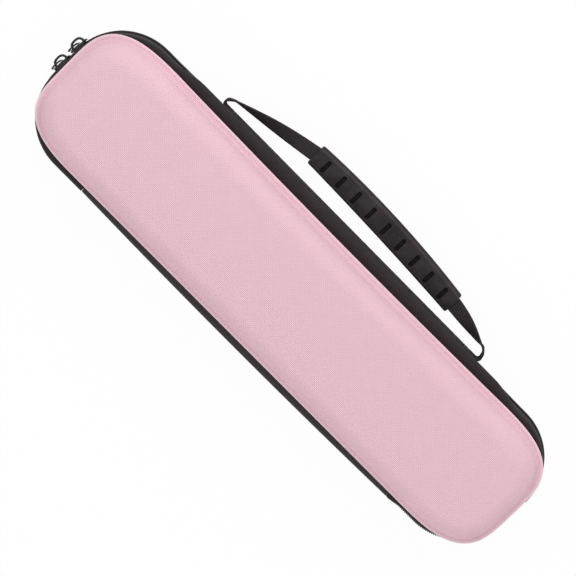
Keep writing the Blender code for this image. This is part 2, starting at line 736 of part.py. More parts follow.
def slider_place(y):
    """Centre and turn of a slider on the zip line at the +X end."""
    beyond = min(y + ZIP_CORNER_Y, 0.0)
    turn = asin(beyond / ZIP_CORNER_RADIUS)
    return Vector((ZIP_CORNER_X + ZIP_CORNER_RADIUS * cos(turn), y, ZIP_Z)), turn


def hook_place(centre, turn):
    """Where the pull's loop goes round the leg of the crown."""
    angle = radians(PULL_HOOK_DEGREES)
    base = CHAIN_THICKNESS / 2 + SLIDER_CLEARANCE + SLIDER_PLATE / 2
    lift = base + (CROWN_HEIGHT - CROWN_BAR / 2) * sin(angle)
    side = (CROWN_LENGTH - CROWN_BAR) / 2 * cos(angle)
    return centre + Vector((cos(turn), sin(turn), 0)) * lift + Vector((-sin(turn), cos(turn), 0)) * side


def make_sliders():
    rows = (("handle_side", 1, HANDLE_SIDE_SLIDER_Y), ("hinge_side", -1, HINGE_SIDE_SLIDER_Y))
    for side, nose_sign, y in rows:
        centre, turn = slider_place(y)
        body = make_slider(side + "_slider", nose_sign, centre, turn)
        corner_centre = (ZIP_CORNER_X, -ZIP_CORNER_Y, ZIP_Z)
        set_axis(body, corner_centre if side == "handle_side" else centre)
        hook = hook_place(centre, turn)
        set_axis(pull_loop(side + "_pull", hook, turn), hook)


# Inside of the case

def wall_inset(depth, offset, height):
    """Inset of a surface inside the shell's outer face, at a height on its round shoulder."""
    foot = RIM_THICKNESS + FLANGE_FILLET
    turn = asin((height - foot) / (depth - foot - offset))
    return WALL_LINE + offset + (SHOULDER_REACH - offset) * (1 - cos(turn))


def make_tray():
    """Foam tray: a layer cut out for the three joints of the flute, on a plain base layer."""
    offset = SHELL_WALL + LINING_THICKNESS + 2 * GAP
    profile = wall_profile(BACK_SHELL_DEPTH, offset, -TRAY_TOP_ABOVE_RIM)
    split = CAVITY_DEPTH - TRAY_TOP_ABOVE_RIM
    upper = [place for place in profile if place[1] < split - GAP]
    upper.append((wall_inset(BACK_SHELL_DEPTH, offset, split), split))
    lower = [(wall_inset(BACK_SHELL_DEPTH, offset, split + GAP), split + GAP)]
    lower += [place for place in profile if place[1] > split + 2 * GAP]
    loft("foam_base", rings_from_profile(lower, BACK_RIM_Z, -1), "black_plush", closed=True)
    tray = loft("foam_tray", rings_from_profile(upper, BACK_RIM_Z, -1), "black_plush", closed=True)
    for name, size, centre in cavity_boxes():
        cut(tray, block(name, size, centre, "black_plush", CAVITY_CORNER))
    for index, (x, y) in enumerate(finger_notches()):
        cut(tray, notch_cutter("finger_notch_" + str(index + 1), x, y))
    return tray


def cavity_boxes():
    height = CAVITY_DEPTH + 2 * OVERRUN
    z = BACK_RIM_Z + TRAY_TOP_ABOVE_RIM - CAVITY_DEPTH / 2
    body_y = -(BODY_CAVITY_WIDTH + CAVITY_DIVIDER) / 2
    short_y = (SHORT_CAVITY_WIDTH + CAVITY_DIVIDER) / 2
    head_x = (SHORT_ROW_LENGTH - HEAD_CAVITY_LENGTH) / 2
    foot_x = -(SHORT_ROW_LENGTH - FOOT_CAVITY_LENGTH) / 2
    return (
        ("body_cavity", (BODY_CAVITY_LENGTH, BODY_CAVITY_WIDTH, height), (0.0, body_y, z)),
        ("head_cavity", (HEAD_CAVITY_LENGTH, SHORT_CAVITY_WIDTH, height), (head_x, short_y, z)),
        ("foot_cavity", (FOOT_CAVITY_LENGTH, SHORT_CAVITY_WIDTH, height), (foot_x, short_y, z)),
    )


def finger_notches():
    boxes = cavity_boxes()
    return [(boxes[1][2][0], 0.0), (boxes[2][2][0], 0.0)]


def notch_cutter(name, x, y):
    """Round notch across the divider, to lift the joints out by hand."""
    mesh_data = bmesh.new()
    depth = FINGER_NOTCH_DEPTH + OVERRUN
    bmesh.ops.create_cone(mesh_data, cap_ends=True, segments=NOTCH_SIDES, radius1=FINGER_NOTCH_RADIUS,
                          radius2=FINGER_NOTCH_RADIUS, depth=depth)
    z = BACK_RIM_Z + TRAY_TOP_ABOVE_RIM - FINGER_NOTCH_DEPTH + depth / 2
    bmesh.ops.translate(mesh_data, vec=Vector((x, y, z)), verts=mesh_data.verts)
    return object_from_bmesh(name, mesh_data, "black_plush")


def make_ceiling_pad():
    """Foam pad against the lid's ceiling."""
    offset = SHELL_WALL + LINING_THICKNESS + 2 * GAP
    inset = WALL_LINE + SHOULDER_REACH
    top = FRONT_RIM_Z + FRONT_SHELL_DEPTH - offset
    rings = [shell_ring(inset, top), shell_ring(inset, top - PAD_THICKNESS)]
    return loft("ceiling_pad", rings, "black_plush", closed=True)


def lid_wall_inset():
    """Inset of the lid's free inner wall, just clear of its lining."""
    return WALL_LINE + SHELL_WALL + LINING_THICKNESS + 2 * GAP


def outline_x(y, inset):
    """Half length of the shell's outline at a place across the case."""
    reach_x = SHELL_CORNER_LENGTH - inset
    reach_y = SHELL_CORNER_WIDTH - inset
    over = max(abs(y) - HALF_WIDTH + SHELL_CORNER_WIDTH, 0.0) / reach_y
    bend = (1 - over ** SHELL_CORNER_POWER) ** (1 / SHELL_CORNER_POWER)
    return HALF_LENGTH - SHELL_CORNER_LENGTH + reach_x * bend


def mouth_cutter(name, height):
    """Block over the side of the lid that the net leaves open."""
    depth = HALF_WIDTH
    size = (SHELL_LENGTH, depth, height)
    centre = (0.0, POCKET_MOUTH_Y - depth / 2, FRONT_RIM_Z + POCKET_NET_RISE)
    return block(name, size, centre, "black_net")


def make_pocket():
    """Net pocket in the lid: net, sewn border on three sides and elastic hem at its mouth."""
    inset = lid_wall_inset()
    low = FRONT_RIM_Z + POCKET_NET_RISE
    height = 2 * (POCKET_BORDER_THICKNESS + POCKET_NET_THICKNESS + OVERRUN)
    net = loft("pocket_net", [shell_ring(inset, low), shell_ring(inset, low + POCKET_NET_THICKNESS)],
               "black_net", closed=True)
    cut(net, mouth_cutter("net_cutter", height))
    top = low - GAP
    bottom = top - POCKET_BORDER_THICKNESS
    inner = inset + POCKET_BORDER_WIDTH
    rings = [shell_ring(inset, top), shell_ring(inset, bottom),
             shell_ring(inner, bottom), shell_ring(inner, top)]
    border = loft("pocket_border", rings, "black_weave", joined=True)
    cut(border, mouth_cutter("border_cutter", height))
    make_hem(inset, low + POCKET_NET_THICKNESS / 2)


def make_hem(inset, z):
    hem_y = POCKET_MOUTH_Y - GAP - POCKET_HEM_WIDTH / 2
    length = 2 * (outline_x(POCKET_MOUTH_Y - GAP - POCKET_HEM_WIDTH, inset) - GAP)
    size = (length, POCKET_HEM_WIDTH, POCKET_HEM_THICKNESS)
    return block("pocket_hem", size, (0.0, hem_y, z), "black_weave")


# Nodes that turn with the lid about the hinge axis
LID_NODES = (
    "front_shell", "front_lining", "front_binding", "front_zip_tape", "front_zip_chain",
    "front_hinge_band", "ceiling_pad", "pocket_net", "pocket_border", "pocket_hem",
)


def main():
    clear_scene()
    make_shells()
    make_binding("back_binding", BACK_RIM_Z, -1)
    make_binding("front_binding", FRONT_RIM_Z, 1)
    make_tapes()
    make_gusset()
    make_chain("back_zip_chain", -1)
    make_chain("front_zip_chain", 1)
    make_zip_tabs()
    make_hinge_band("back_hinge_band", BACK_RIM_Z, -1)
    make_hinge_band("front_hinge_band", FRONT_RIM_Z, 1)
    make_base_strap()
    make_handle_strap()
    make_grip()
    make_sliders()
    make_tray()
    make_ceiling_pad()
    make_pocket()
    for name in LID_NODES:
        set_axis(bpy.data.objects[name], (0, HINGE_AXIS_Y, ZIP_Z))


main()
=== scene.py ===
"""Looks of the flute bag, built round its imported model.

The case lies on its back shell. X runs along it, with the zip sliders at the +X end, the handle
is on the -Y side, the hinge is on the +Y side and Z is up. Lengths are in metres.
"""

import logging
from bisect import bisect_right
from dataclasses import dataclass, field
from enum import Enum, StrEnum, auto
from functools import cached_property
from itertools import accumulate
from math import asin, atan, copysign, cos, pi, radians, sin
from typing import Any, NamedTuple

import bmesh
import bpy
from mathutils import Matrix, Vector


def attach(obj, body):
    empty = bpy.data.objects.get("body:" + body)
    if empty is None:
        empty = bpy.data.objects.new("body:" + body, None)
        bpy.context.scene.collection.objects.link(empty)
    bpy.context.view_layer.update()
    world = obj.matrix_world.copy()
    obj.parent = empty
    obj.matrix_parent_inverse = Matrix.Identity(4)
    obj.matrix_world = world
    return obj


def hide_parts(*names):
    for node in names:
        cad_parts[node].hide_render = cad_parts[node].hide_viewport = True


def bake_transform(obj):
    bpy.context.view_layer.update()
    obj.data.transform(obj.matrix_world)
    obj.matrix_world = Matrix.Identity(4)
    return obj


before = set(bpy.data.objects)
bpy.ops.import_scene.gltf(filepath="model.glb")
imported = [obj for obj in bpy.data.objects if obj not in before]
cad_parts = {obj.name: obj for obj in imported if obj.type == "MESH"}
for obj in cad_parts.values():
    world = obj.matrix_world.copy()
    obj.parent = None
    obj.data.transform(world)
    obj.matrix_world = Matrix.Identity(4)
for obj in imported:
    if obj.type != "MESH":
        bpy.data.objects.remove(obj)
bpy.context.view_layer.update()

LOG = logging.getLogger("flute_bag")
RUN_MAP = "cloth_run"
# Attribute that marks where finishes paint highlights on edges and shade in hollows and beside rims.
EDGE_MARK = "edge_mark"
UP = Vector((0, 0, 1))
OUTWARD = Vector((0, -1, 0))
PUCKER_LENGTH = 0.0065
QUADRANTS = ((1, 1), (-1, 1), (-1, -1), (1, -1))

Shade = tuple[int, int, int]
Place = tuple[Vector, Vector]
Section = list[tuple[float, float]]
Item = bpy.types.Object


class Slot(StrEnum):
    """Material slots that the finishes carry."""

    PINK_WEAVE = auto()
    BLACK_WEAVE = auto()
    BLACK_COIL = auto()
    BLACK_RUBBER = auto()
    BLACK_METAL = auto()
    BLACK_PLUSH = auto()
    BLACK_LINING = auto()
    BLACK_NET = auto()


class Body(StrEnum):
    """Bodies that the pieces ride on."""

    BASE = auto()
    LID = auto()
    HANDLE = auto()
    HANDLE_SIDE_SLIDER = auto()
    HINGE_SIDE_SLIDER = auto()
    HANDLE_SIDE_PULL = auto()
    HINGE_SIDE_PULL = auto()


class Half(Enum):
    """The two moulded halves, with the way that each one's depth runs."""

    BACK = -1
    FRONT = 1

    @property
    def side(self) -> str:
        """Name of the half in its pieces."""
        return self.name.lower()

    @property
    def body(self) -> Body:
        """Body that the half rides on."""
        return Body.LID if self is Half.FRONT else Body.BASE


class Pattern(StrEnum):
    """Ways in which the threads of a cloth cross."""

    PLAIN = auto()
    TWILL = auto()
    KNIT = auto()


def linear(shade: Shade) -> tuple[float, ...]:
    """Turns red, green and blue written in 0 to 255 into a shader's linear values and alpha."""
    values = [part / 255 for part in shade]
    return (*(v / 12.92 if v <= 0.04045 else ((v + 0.055) / 1.055) ** 2.4 for v in values), 1.0)


def ease(start: float, end: float, value: float) -> float:
    """Rises smoothly from 0 at start to 1 at end."""
    share = min(max((value - start) / (end - start), 0.0), 1.0)
    return share * share * (3 - 2 * share)


def quarter(steps: int) -> list[float]:
    """Angles of a quarter turn in even steps, in radians."""
    return [pi / 2 * step / steps for step in range(steps + 1)]


def runs_along(points: list[Vector]) -> list[float]:
    """Length of a line up to each of its points."""
    spans = ((after - before).length for before, after in zip(points, points[1:]))
    return list(accumulate(spans, initial=0.0))


# Shaders

class Wire:
    """One value of a shader, which Python's operators turn into Math nodes."""

    def __init__(self, tree: "ShaderTree", socket: bpy.types.NodeSocket) -> None:
        """Keeps the shader and the socket that the value comes from."""
        self.tree = tree
        self.socket = socket

    def _join(self, operation: str, *values: "Wire | float") -> "Wire":
        """Adds one Math node on some values and gives its result."""
        return self.tree.node("ShaderNodeMath", {"operation": operation}, dict(enumerate(values)))

    def __add__(self, other: "Wire | float") -> "Wire":
        """Adds a value."""
        return self._join("ADD", self, other)

    def __radd__(self, other: float) -> "Wire":
        """Adds itself to a number."""
        return self._join("ADD", other, self)

    def __sub__(self, other: "Wire | float") -> "Wire":
        """Takes a value away."""
        return self._join("SUBTRACT", self, other)

    def __rsub__(self, other: float) -> "Wire":
        """Takes itself away from a number."""
        return self._join("SUBTRACT", other, self)

    def __mul__(self, other: "Wire | float") -> "Wire":
        """Multiplies by a value."""
        return self._join("MULTIPLY", self, other)

    def __rmul__(self, other: float) -> "Wire":
        """Multiplies a number by itself."""
        return self._join("MULTIPLY", other, self)

    def __truediv__(self, other: "Wire | float") -> "Wire":
        """Divides by a value."""
        return self._join("DIVIDE", self, other)

    def __pow__(self, other: float) -> "Wire":
        """Raises to a power."""
        return self._join("POWER", self, other)

    def __abs__(self) -> "Wire":
        """Drops the sign."""
        return self._join("ABSOLUTE", self)

    def sine(self) -> "Wire":
        """Sine of an angle in radians."""
        return self._join("SINE", self)

    def above(self, level: "Wire | float") -> "Wire":
        """Gives 1 where it is above a level, and 0 elsewhere."""
        return self._join("GREATER_THAN", self, level)

    def least(self, other: "Wire | float") -> "Wire":
        """The smaller of two values."""
        return self._join("MINIMUM", self, other)

    def most(self, other: "Wire | float") -> "Wire":
        """The larger of two values."""
        return self._join("MAXIMUM", self, other)

    def spread(self, low: float, high: float) -> "Wire":
        """Maps low to high onto 0 to 1 and holds it there."""
        return ((self - low) / (high - low)).most(0.0).least(1.0)


class ShaderTree:
    """The nodes of one material, round one Principled shader."""

    def __init__(self, name: str) -> None:
        """Starts an empty material with its shader and its output.

        Args:
            name: The material's name.
        """
        self.material = bpy.data.materials.new(name)
        self.material.use_nodes = True
        self.nodes = self.material.node_tree.nodes
        self.links = self.material.node_tree.links
        self.nodes.clear()
        self.shader = self.nodes.new("ShaderNodeBsdfPrincipled")
        output = self.nodes.new("ShaderNodeOutputMaterial")
        self.links.new(self.shader.outputs[0], output.inputs["Surface"])

    def feed(self, socket: bpy.types.NodeSocket, value: Any) -> None:
        """Links a value of the shader to a socket, or sets the socket to a plain value."""
        if isinstance(value, Wire):
            self.links.new(value.socket, socket)
        else:
            socket.default_value = value

    def node(self, kind: str, settings: dict[str, Any], sockets: dict[Any, Any],
             output: int | str = 0) -> Wire:
        """Adds one node.

        Args:
            kind: The node's type.
            settings: The node's own settings, which are set first.
            sockets: Values or links by the name or number of their socket.
            output: Name or number of the output that is wanted.

        Returns:
            The wanted output.
        """
        made = self.nodes.new(kind)
        for key, value in settings.items():
            setattr(made, key, value)
        for key, value in sockets.items():
            self.feed(made.inputs[key], value)
        return Wire(self, made.outputs[output])

    def mix(self, factor: Wire | float, first: Any, second: Any) -> Wire:
        """Mixes two colours, by the share of the second one."""
        return self.node("ShaderNodeMix", {"data_type": "RGBA"}, {0: factor, 6: first, 7: second}, 2)

    def mark(self) -> Wire:
        """Edge mark of the piece, from -1 for painted shade in a hollow to 1 on an edge that gets a
        painted highlight or painted shade.
        """
        return self.node("ShaderNodeAttribute", {"attribute_name": EDGE_MARK}, {}, "Fac")

    def run(self) -> tuple[Wire, Wire]:
        """Coordinates on the cloth, in metres.

        Returns:
            The coordinates along and across it.
        """
        run = self.node("ShaderNodeUVMap", {"uv_map": RUN_MAP}, {})
        parts = self.node("ShaderNodeSeparateXYZ", {}, {0: run})
        return parts, Wire(self, parts.socket.node.outputs[1])

    def noise(self, scale: float, detail: float = 2.0) -> Wire:
        """Soft noise from 0 to 1, with its patches in a metre and how much finer noise is added."""
        place = self.node("ShaderNodeTexCoord", {}, {}, "Object")
        return self.node("ShaderNodeTexNoise", {}, {"Vector": place, "Scale": scale, "Detail": detail})

    def bump(self, height: Wire, depth: float) -> Wire:
        """Turns a height from 0 to 1 into a bent normal, with the depth in metres of a height of 1."""
        sockets = {"Height": height, "Distance": depth, "Strength": 1.0}
        return self.node("ShaderNodeBump", {}, sockets)

    def coat(self, values: dict[str, Any]) -> None:
        """Gives the shader's named sockets their links or plain values."""
        for name, value in values.items():
            self.feed(self.shader.inputs[name], value)


# Finishes

@dataclass(frozen=True)
class Finish:
    """What every finish has: its name, its material slot and its plain shader values."""

    name: str
    slot: Slot
    roughness: float = 0.8
    metallic: float = 0.0
    specular: float = 0.5
    sheen: float = 0.0
    coat: float = 0.0

    @cached_property
    def material(self) -> bpy.types.Material:
        """The material, made once.

        Returns:
            The material with its plain values and what paint adds.
        """
        tree = ShaderTree(self.name)
        tree.coat({"Roughness": self.roughness, "Metallic": self.metallic,
                   "Specular IOR Level": self.specular, "Sheen Weight": self.sheen,
                   "Sheen Roughness": 0.5, "Coat Weight": self.coat, "Coat Roughness": 0.25})
        self.paint(tree)
        return tree.material

    def paint(self, tree: ShaderTree) -> None:
        """Adds the colour, the roughness and the relief that change over the surface."""
        raise NotImplementedError

    def dress(self, item: Item, body: Body, *nodes: str) -> Item:
        """Gives a piece this finish and its body, and hides the CAD nodes that it stands for."""
        self.coat_only(item, *nodes)
        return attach(item, str(body))

    def coat_only(self, item: Item, *nodes: str) -> Item:
        """Gives a piece this finish, with no body, and hides the CAD nodes that it stands for.

        Args:
            item: The piece.
            nodes: CAD nodes that it stands for.

        Returns:
            The piece.
        """
        item.data.materials.clear()
        item.data.materials.append(self.material)
        if nodes:
            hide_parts(*nodes)
        LOG.info("%s: %d faces, %s", item.name, len(item.data.polygons), self.name)
        return item


@dataclass(frozen=True)
class Cloth(Finish):
    """Woven or knitted cloth, with its threads drawn along and across the cloth's own run."""

    warp: Shade = (60, 55, 56)
    weft: Shade = (50, 46, 47)
    hollow: Shade = (30, 26, 27)
    rim: Shade = (60, 55, 56)
    pattern: Pattern = Pattern.PLAIN
    pitch: float = 0.0010
    pitch_across: float = 0.0010
    relief: float = 0.00020
    waver: float = 0.10
    mottle: float = 0.10
    mottle_scale: float = 60.0

    def crossings(self, along: Wire, across: Wire) -> tuple[Wire, Wire]:
        """Height of the threads and where the warp lies on top.

        Args:
            along: Run along the cloth, in threads.
            across: Run across the cloth, in threads.

        Returns:
            The height and the warp's mask, both from 0 to 1.
        """
        if self.pattern is Pattern.KNIT:
            bend = 0.35 * abs((across * pi).sine())
            return abs(((along + bend) * pi).sine()), abs((across * pi).sine())
        warp = (along * pi).sine()
        weft = (across * pi).sine()
        if self.pattern is Pattern.TWILL:
            over = ((along + across) * pi).sine()
            return 0.35 + 0.65 * abs(over) * (0.5 + 0.5 * abs(weft)), over.above(0.0)
        over = (warp * weft).above(0.0)
        pillow = abs(warp) * abs(weft) ** 0.4
        other = abs(weft) * abs(warp) ** 0.4
        return over * pillow + (1 - over) * other, over

    def paint(self, tree: ShaderTree) -> None:
        """Adds threads, mottling, fluff and the rim colour on marked edges, where some finishes paint a
        highlight or shade.

        Args:
            tree: The material's nodes.
        """
        along, across = tree.run()
        drift = self.waver * 2 * (tree.noise(0.25 / self.pitch, 1.0) - 0.5)
        height, over = self.crossings(along / self.pitch + drift,
                                      across / self.pitch_across + drift)
        threads = tree.mix(over, linear(self.weft), linear(self.warp))
        shaded = tree.mix(height.spread(0.0, 0.75), linear(self.hollow), threads)
        broad = tree.noise(self.mottle_scale, 3.0).spread(0.30, 0.70)
        mottled = tree.mix(self.mottle * broad, shaded, linear(self.hollow))
        fluff = tree.noise(1.6 / self.pitch)
        rough = (self.roughness - 0.08) + 0.16 * fluff
        # Painted light: the rim colour laid on by the edge mark is a painted highlight on the pink rim, a
        # painted shadow on the front tape under the rim, painted shade on the webbing's edges and a paler
        # edge on binding cloth.
        tree.coat({"Base Color": tree.mix(0.75 * tree.mark(), mottled, linear(self.rim)),
                   "Roughness": rough.least(1.0),
                   "Normal": tree.bump(height + 0.25 * fluff, self.relief)})


@dataclass(frozen=True)
class Moulded(Finish):
    """Moulded rubber or nylon: fine grain, cloudy bloom, painted edge highlights and painted shade in
    hollows.
    """

    colour: Shade = (58, 54, 55)
    bloom_and_highlight: Shade = (72, 68, 69)
    hollow: Shade = (14, 12, 12)
    grain: float = 0.00004
    grain_scale: float = 2600.0

    def paint(self, tree: ShaderTree) -> None:
        """Adds the grain, the cloudy bloom, painted highlights on marked edges and painted shade in
        marked hollows.

        Args:
            tree: The material's nodes.
        """
        cloud = tree.noise(120.0, 4.0).spread(0.35, 0.75)
        mark = tree.mark()
        # A positive edge mark paints a highlight with the pale colour, and a negative one paints shade
        # with the hollow colour.
        share = (0.35 * cloud + 0.8 * mark).least(1.0)
        face = tree.mix(share, linear(self.colour), linear(self.bloom_and_highlight))
        grain = tree.noise(self.grain_scale)
        tree.coat({"Base Color": tree.mix((0 - mark).most(0.0), face, linear(self.hollow)),
                   "Roughness": (self.roughness - 0.06) + 0.14 * grain,
                   "Normal": tree.bump(grain, self.grain)})


@dataclass(frozen=True)
class Lacquer(Finish):
    """Black lacquer on cast or drawn metal, thin where it rubs."""

    colour: Shade = (38, 37, 39)
    bare: Shade = (112, 110, 112)

    def paint(self, tree: ShaderTree) -> None:
        """Adds small scuffs where the metal shows and an uneven gloss.

        Args:
            tree: The material's nodes.
        """
        scuff = tree.noise(900.0, 5.0).spread(0.60, 0.72)
        patch = tree.noise(160.0).spread(0.45, 0.70)
        tree.coat({"Base Color": tree.mix(0.5 * scuff * patch, linear(self.colour), linear(self.bare)),
                   "Roughness": (self.roughness - 0.08) + 0.20 * patch,
                   "Normal": tree.bump(tree.noise(420.0), 0.00003)})


@dataclass(frozen=True)
class Velour(Finish):
    """Short pile on foam, brushed into lighter and darker patches."""

    pile: Shade = (36, 35, 38)
    brushed: Shade = (54, 53, 57)

    def paint(self, tree: ShaderTree) -> None:
        """Adds single hairs, brushed patches and the soft relief of the pile.

        Args:
            tree: The material's nodes.
        """
        hairs = tree.noise(3200.0, 3.0)
        strokes = tree.noise(38.0, 4.0).spread(0.35, 0.70)
        share = (0.45 * strokes + 0.55 * hairs.spread(0.35, 0.75)).least(1.0)
        tree.coat({"Base Color": tree.mix(share, linear(self.pile), linear(self.brushed)),
                   "Roughness": 0.88 + 0.12 * hairs, "Normal": tree.bump(hairs, 0.00025)})


@dataclass(frozen=True)
class Netting(Finish):
    """Knitted net with open diamonds."""

    thread: Shade = (44, 42, 44)
    fluff: Shade = (66, 63, 65)
    cell: float = 0.0026
    open_share: float = 0.42

    def paint(self, tree: ShaderTree) -> None:
        """Adds the crossing threads and leaves the diamonds between them open.

        Args:
            tree: The material's nodes.
        """
        along, across = tree.run()
        rising = abs(((along + across) * (pi / self.cell)).sine())
        falling = abs(((along - across) * (pi / self.cell)).sine())
        thread = 1 - rising.least(falling)
        colour = tree.mix(tree.noise(2400.0), linear(self.thread), linear(self.fluff))
        tree.coat({"Base Color": colour, "Alpha": thread.above(self.open_share),
                   "Normal": tree.bump(thread, 0.00015)})


# The pink cover's rim colour is a painted highlight along the pressed rim's edge.
PINK_COVER = Cloth("pink_cover", Slot.PINK_WEAVE, roughness=0.78, specular=0.25, sheen=0.06,
                   warp=(244, 208, 218), weft=(237, 197, 208), hollow=(211, 168, 181),
                   rim=(246, 217, 225), mottle=0.05, mottle_scale=70.0)
PINK_THREAD = Moulded("pink_thread", Slot.PINK_WEAVE, roughness=0.60, specular=0.35,
                      colour=(232, 194, 205), bloom_and_highlight=(243, 214, 222), grain=0.00003)
BAND_CLOTH = Cloth("band_cloth", Slot.BLACK_WEAVE, roughness=0.82, specular=0.25, sheen=0.08,
                   warp=(62, 56, 58), weft=(54, 48, 50), hollow=(30, 24, 26), rim=(76, 71, 73),
                   pattern=Pattern.TWILL, pitch=0.0009, pitch_across=0.0009, relief=0.00014,
                   mottle=0.35, mottle_scale=150.0)
# The tape's dark reddish rim colour is a painted shadow where the tape comes out from under the pink rim.
TAPE_CLOTH = Cloth("tape_cloth", Slot.BLACK_WEAVE, roughness=0.80, specular=0.25, sheen=0.06,
                   warp=(54, 49, 51), weft=(46, 41, 43), hollow=(24, 19, 21), rim=(26, 10, 14),
                   pattern=Pattern.TWILL, pitch=0.0007, pitch_across=0.0007, relief=0.00012,
                   mottle=0.30, mottle_scale=150.0)
# The webbing's darker rim colour is painted shade on the strap's rounded edges.
WEBBING = Cloth("webbing", Slot.BLACK_WEAVE, roughness=0.90, specular=0.10,
                warp=(72, 66, 67), weft=(64, 58, 59), hollow=(36, 31, 32), rim=(48, 43, 44),
                pitch=0.0008, pitch_across=0.0016, relief=0.00022, mottle=0.15)
BINDING_CLOTH = Cloth("binding_cloth", Slot.BLACK_WEAVE, roughness=0.80, sheen=0.05,
                      warp=(50, 46, 48), weft=(44, 40, 42), hollow=(24, 20, 22),
                      pitch=0.0008, pitch_across=0.0005, relief=0.00015)
LINING_CLOTH = Cloth("lining_cloth", Slot.BLACK_LINING, roughness=0.85, sheen=0.10,
                     warp=(58, 56, 60), weft=(50, 48, 52), hollow=(30, 28, 31),
                     pattern=Pattern.KNIT, pitch=0.0011, pitch_across=0.0013, relief=0.00015)
BLACK_THREAD = Moulded("black_thread", Slot.BLACK_WEAVE, roughness=0.55, specular=0.4,
                       colour=(48, 42, 44), bloom_and_highlight=(74, 68, 70), grain=0.00003)
COIL_NYLON = Moulded("coil_nylon", Slot.BLACK_COIL, roughness=0.42, colour=(44, 40, 41),
                     bloom_and_highlight=(62, 58, 59), grain=0.00002)
# The grip's pale colour is also a painted highlight on its long edges, and its hollow colour is painted
# shade in the grooves.
GRIP_RUBBER = Moulded("grip_rubber", Slot.BLACK_RUBBER, roughness=0.52, specular=0.18,
                      sheen=0.04, colour=(32, 27, 28), bloom_and_highlight=(74, 67, 69), hollow=(8, 7, 7),
                      grain=0.00005)
SLIDER_LACQUER = Lacquer("slider_lacquer", Slot.BLACK_METAL, roughness=0.30, metallic=0.75,
                         coat=0.4)
PILE = Velour("pile", Slot.BLACK_PLUSH, roughness=0.92, specular=0.2, sheen=0.35)
POCKET_NETTING = Netting("pocket_netting", Slot.BLACK_NET, roughness=0.70, specular=0.3)


# Surfaces

@dataclass
class Patch:
    """Rows of points that make one surface, with the cloth's run along and across it."""

    rows: list[list[Vector]]
    run: list[list[tuple[float, float]]] = field(default_factory=list)
    ring: bool = False
    loop: bool = False
    capped: bool = False
    edge: list[list[float]] = field(default_factory=list)

    def run_at(self, row: int, column: int) -> tuple[float, float]:
        """Run of one corner, with an extra row or column where the cloth has a seam.

        Args:
            row: Number of the row.
            column: Number of the point in it.

        Returns:
            The run along and across the cloth.
        """
        if not self.run:
            point = self.rows[row % len(self.rows)][column % len(self.rows[0])]
            return (point.x, point.y)
        line = self.run[row % len(self.run)]
        return line[column % len(line)]

    def faces(self) -> tuple[list[tuple[int, ...]], list[tuple[float, float]]]:
        """Faces by the numbers of their points, and the run of each face's corners.

        Returns:
            The faces and the runs.
        """
        columns = len(self.rows[0])
        faces = []
        runs = []
        for row in range(len(self.rows) if self.loop else len(self.rows) - 1):
            upper = (row + 1) % len(self.rows)
            for column in range(columns if self.ring else columns - 1):
                after = (column + 1) % columns
                faces.append((row * columns + column, row * columns + after,
                              upper * columns + after, upper * columns + column))
                runs += [self.run_at(row, column), self.run_at(row, column + 1),
                         self.run_at(row + 1, column + 1), self.run_at(row + 1, column)]
        for row in (0, len(self.rows) - 1) if self.capped else ():
            faces.append(tuple(row * columns + column for column in range(columns)))
            runs += [self.run_at(row, column) for column in range(columns)]
        return faces, runs


def build(name: str, patches: list[Patch], sharp: float = 42.0) -> Item:
    """Makes one object of one or more patches.

    Args:
        name: The object's name.
        patches: The surfaces.
        sharp: Angle in degrees above which an edge stays sharp.

    Returns:
        The object.
    """
    points: list[Vector] = []
    faces: list[tuple[int, ...]] = []
    runs: list[tuple[float, float]] = []
    marks: list[float] = []
    for patch in patches:
        first = len(points)
        points += [point for row in patch.rows for point in row]
        marks += ([mark for row in patch.edge for mark in row] if patch.edge
                  else [0.0] * (len(points) - first))
        made, made_runs = patch.faces()
        faces += [tuple(first + number for number in face) for face in made]
        runs += made_runs
    mesh = bpy.data.meshes.new(name)
    mesh.from_pydata(points, [], faces)
    layer = mesh.uv_layers.new(name=RUN_MAP)
    layer.data.foreach_set("uv", [value for run in runs for value in run])
    mark = mesh.attributes.new(EDGE_MARK, "FLOAT", "POINT")
    mark.data.foreach_set("value", marks)
    made = bmesh.new()
    made.from_mesh(mesh)
    bmesh.ops.recalc_face_normals(made, faces=made.faces)
    made.to_mesh(mesh)
    made.free()
    mesh.shade_smooth()
    mesh.set_sharp_from_angle(angle=radians(sharp))
    return link(name, mesh)


def link(name: str, data: bpy.types.ID) -> Item:
    """Puts a mesh, a lamp or a camera in the scene.

    Args:
        name: The object's name.
        data: What it shows.

    Returns:
        The object.
    """
    item = bpy.data.objects.new(name, data)
    bpy.context.scene.collection.objects.link(item)
    return item


def settle(item: Item) -> Item:
    """Applies an object's modifiers to its mesh.

    Args:
        item: The object.

    Returns:
        The same object.
    """
    bpy.context.view_layer.update()
    seen = item.evaluated_get(bpy.context.evaluated_depsgraph_get())
    mesh = bpy.data.meshes.new_from_object(seen)
    item.modifiers.clear()
    item.data = mesh
    return item


def thicken(item: Item, thickness: float) -> Item:
    """Gives a sheet an even thickness about its middle, with slightly rounded edges.

    Args:
        item: The sheet.
        thickness: The thickness.

    Returns:
        The same object.
    """
    shell = item.modifiers.new("thickness", "SOLIDIFY")
    shell.thickness = thickness
    shell.offset = 0.0
    shell.use_even_offset = True
    soft = item.modifiers.new("soft_edges", "BEVEL")
    soft.width = thickness * 0.3
    soft.segments = 2
    soft.limit_method = "ANGLE"
    soft.angle_limit = radians(60)
    return settle(item)


def corner_turns(steps: int) -> list[tuple[int, int, float]]:
    """Signs and angle of the points round a section's four corners, anticlockwise.

    Args:
        steps: Steps round each corner.

    Returns:
        The two signs and the angle of each point.
    """
    turns = quarter(steps)
    return [(first, second, turn) for first, second in QUADRANTS
            for turn in (turns if first == second else turns[::-1])]


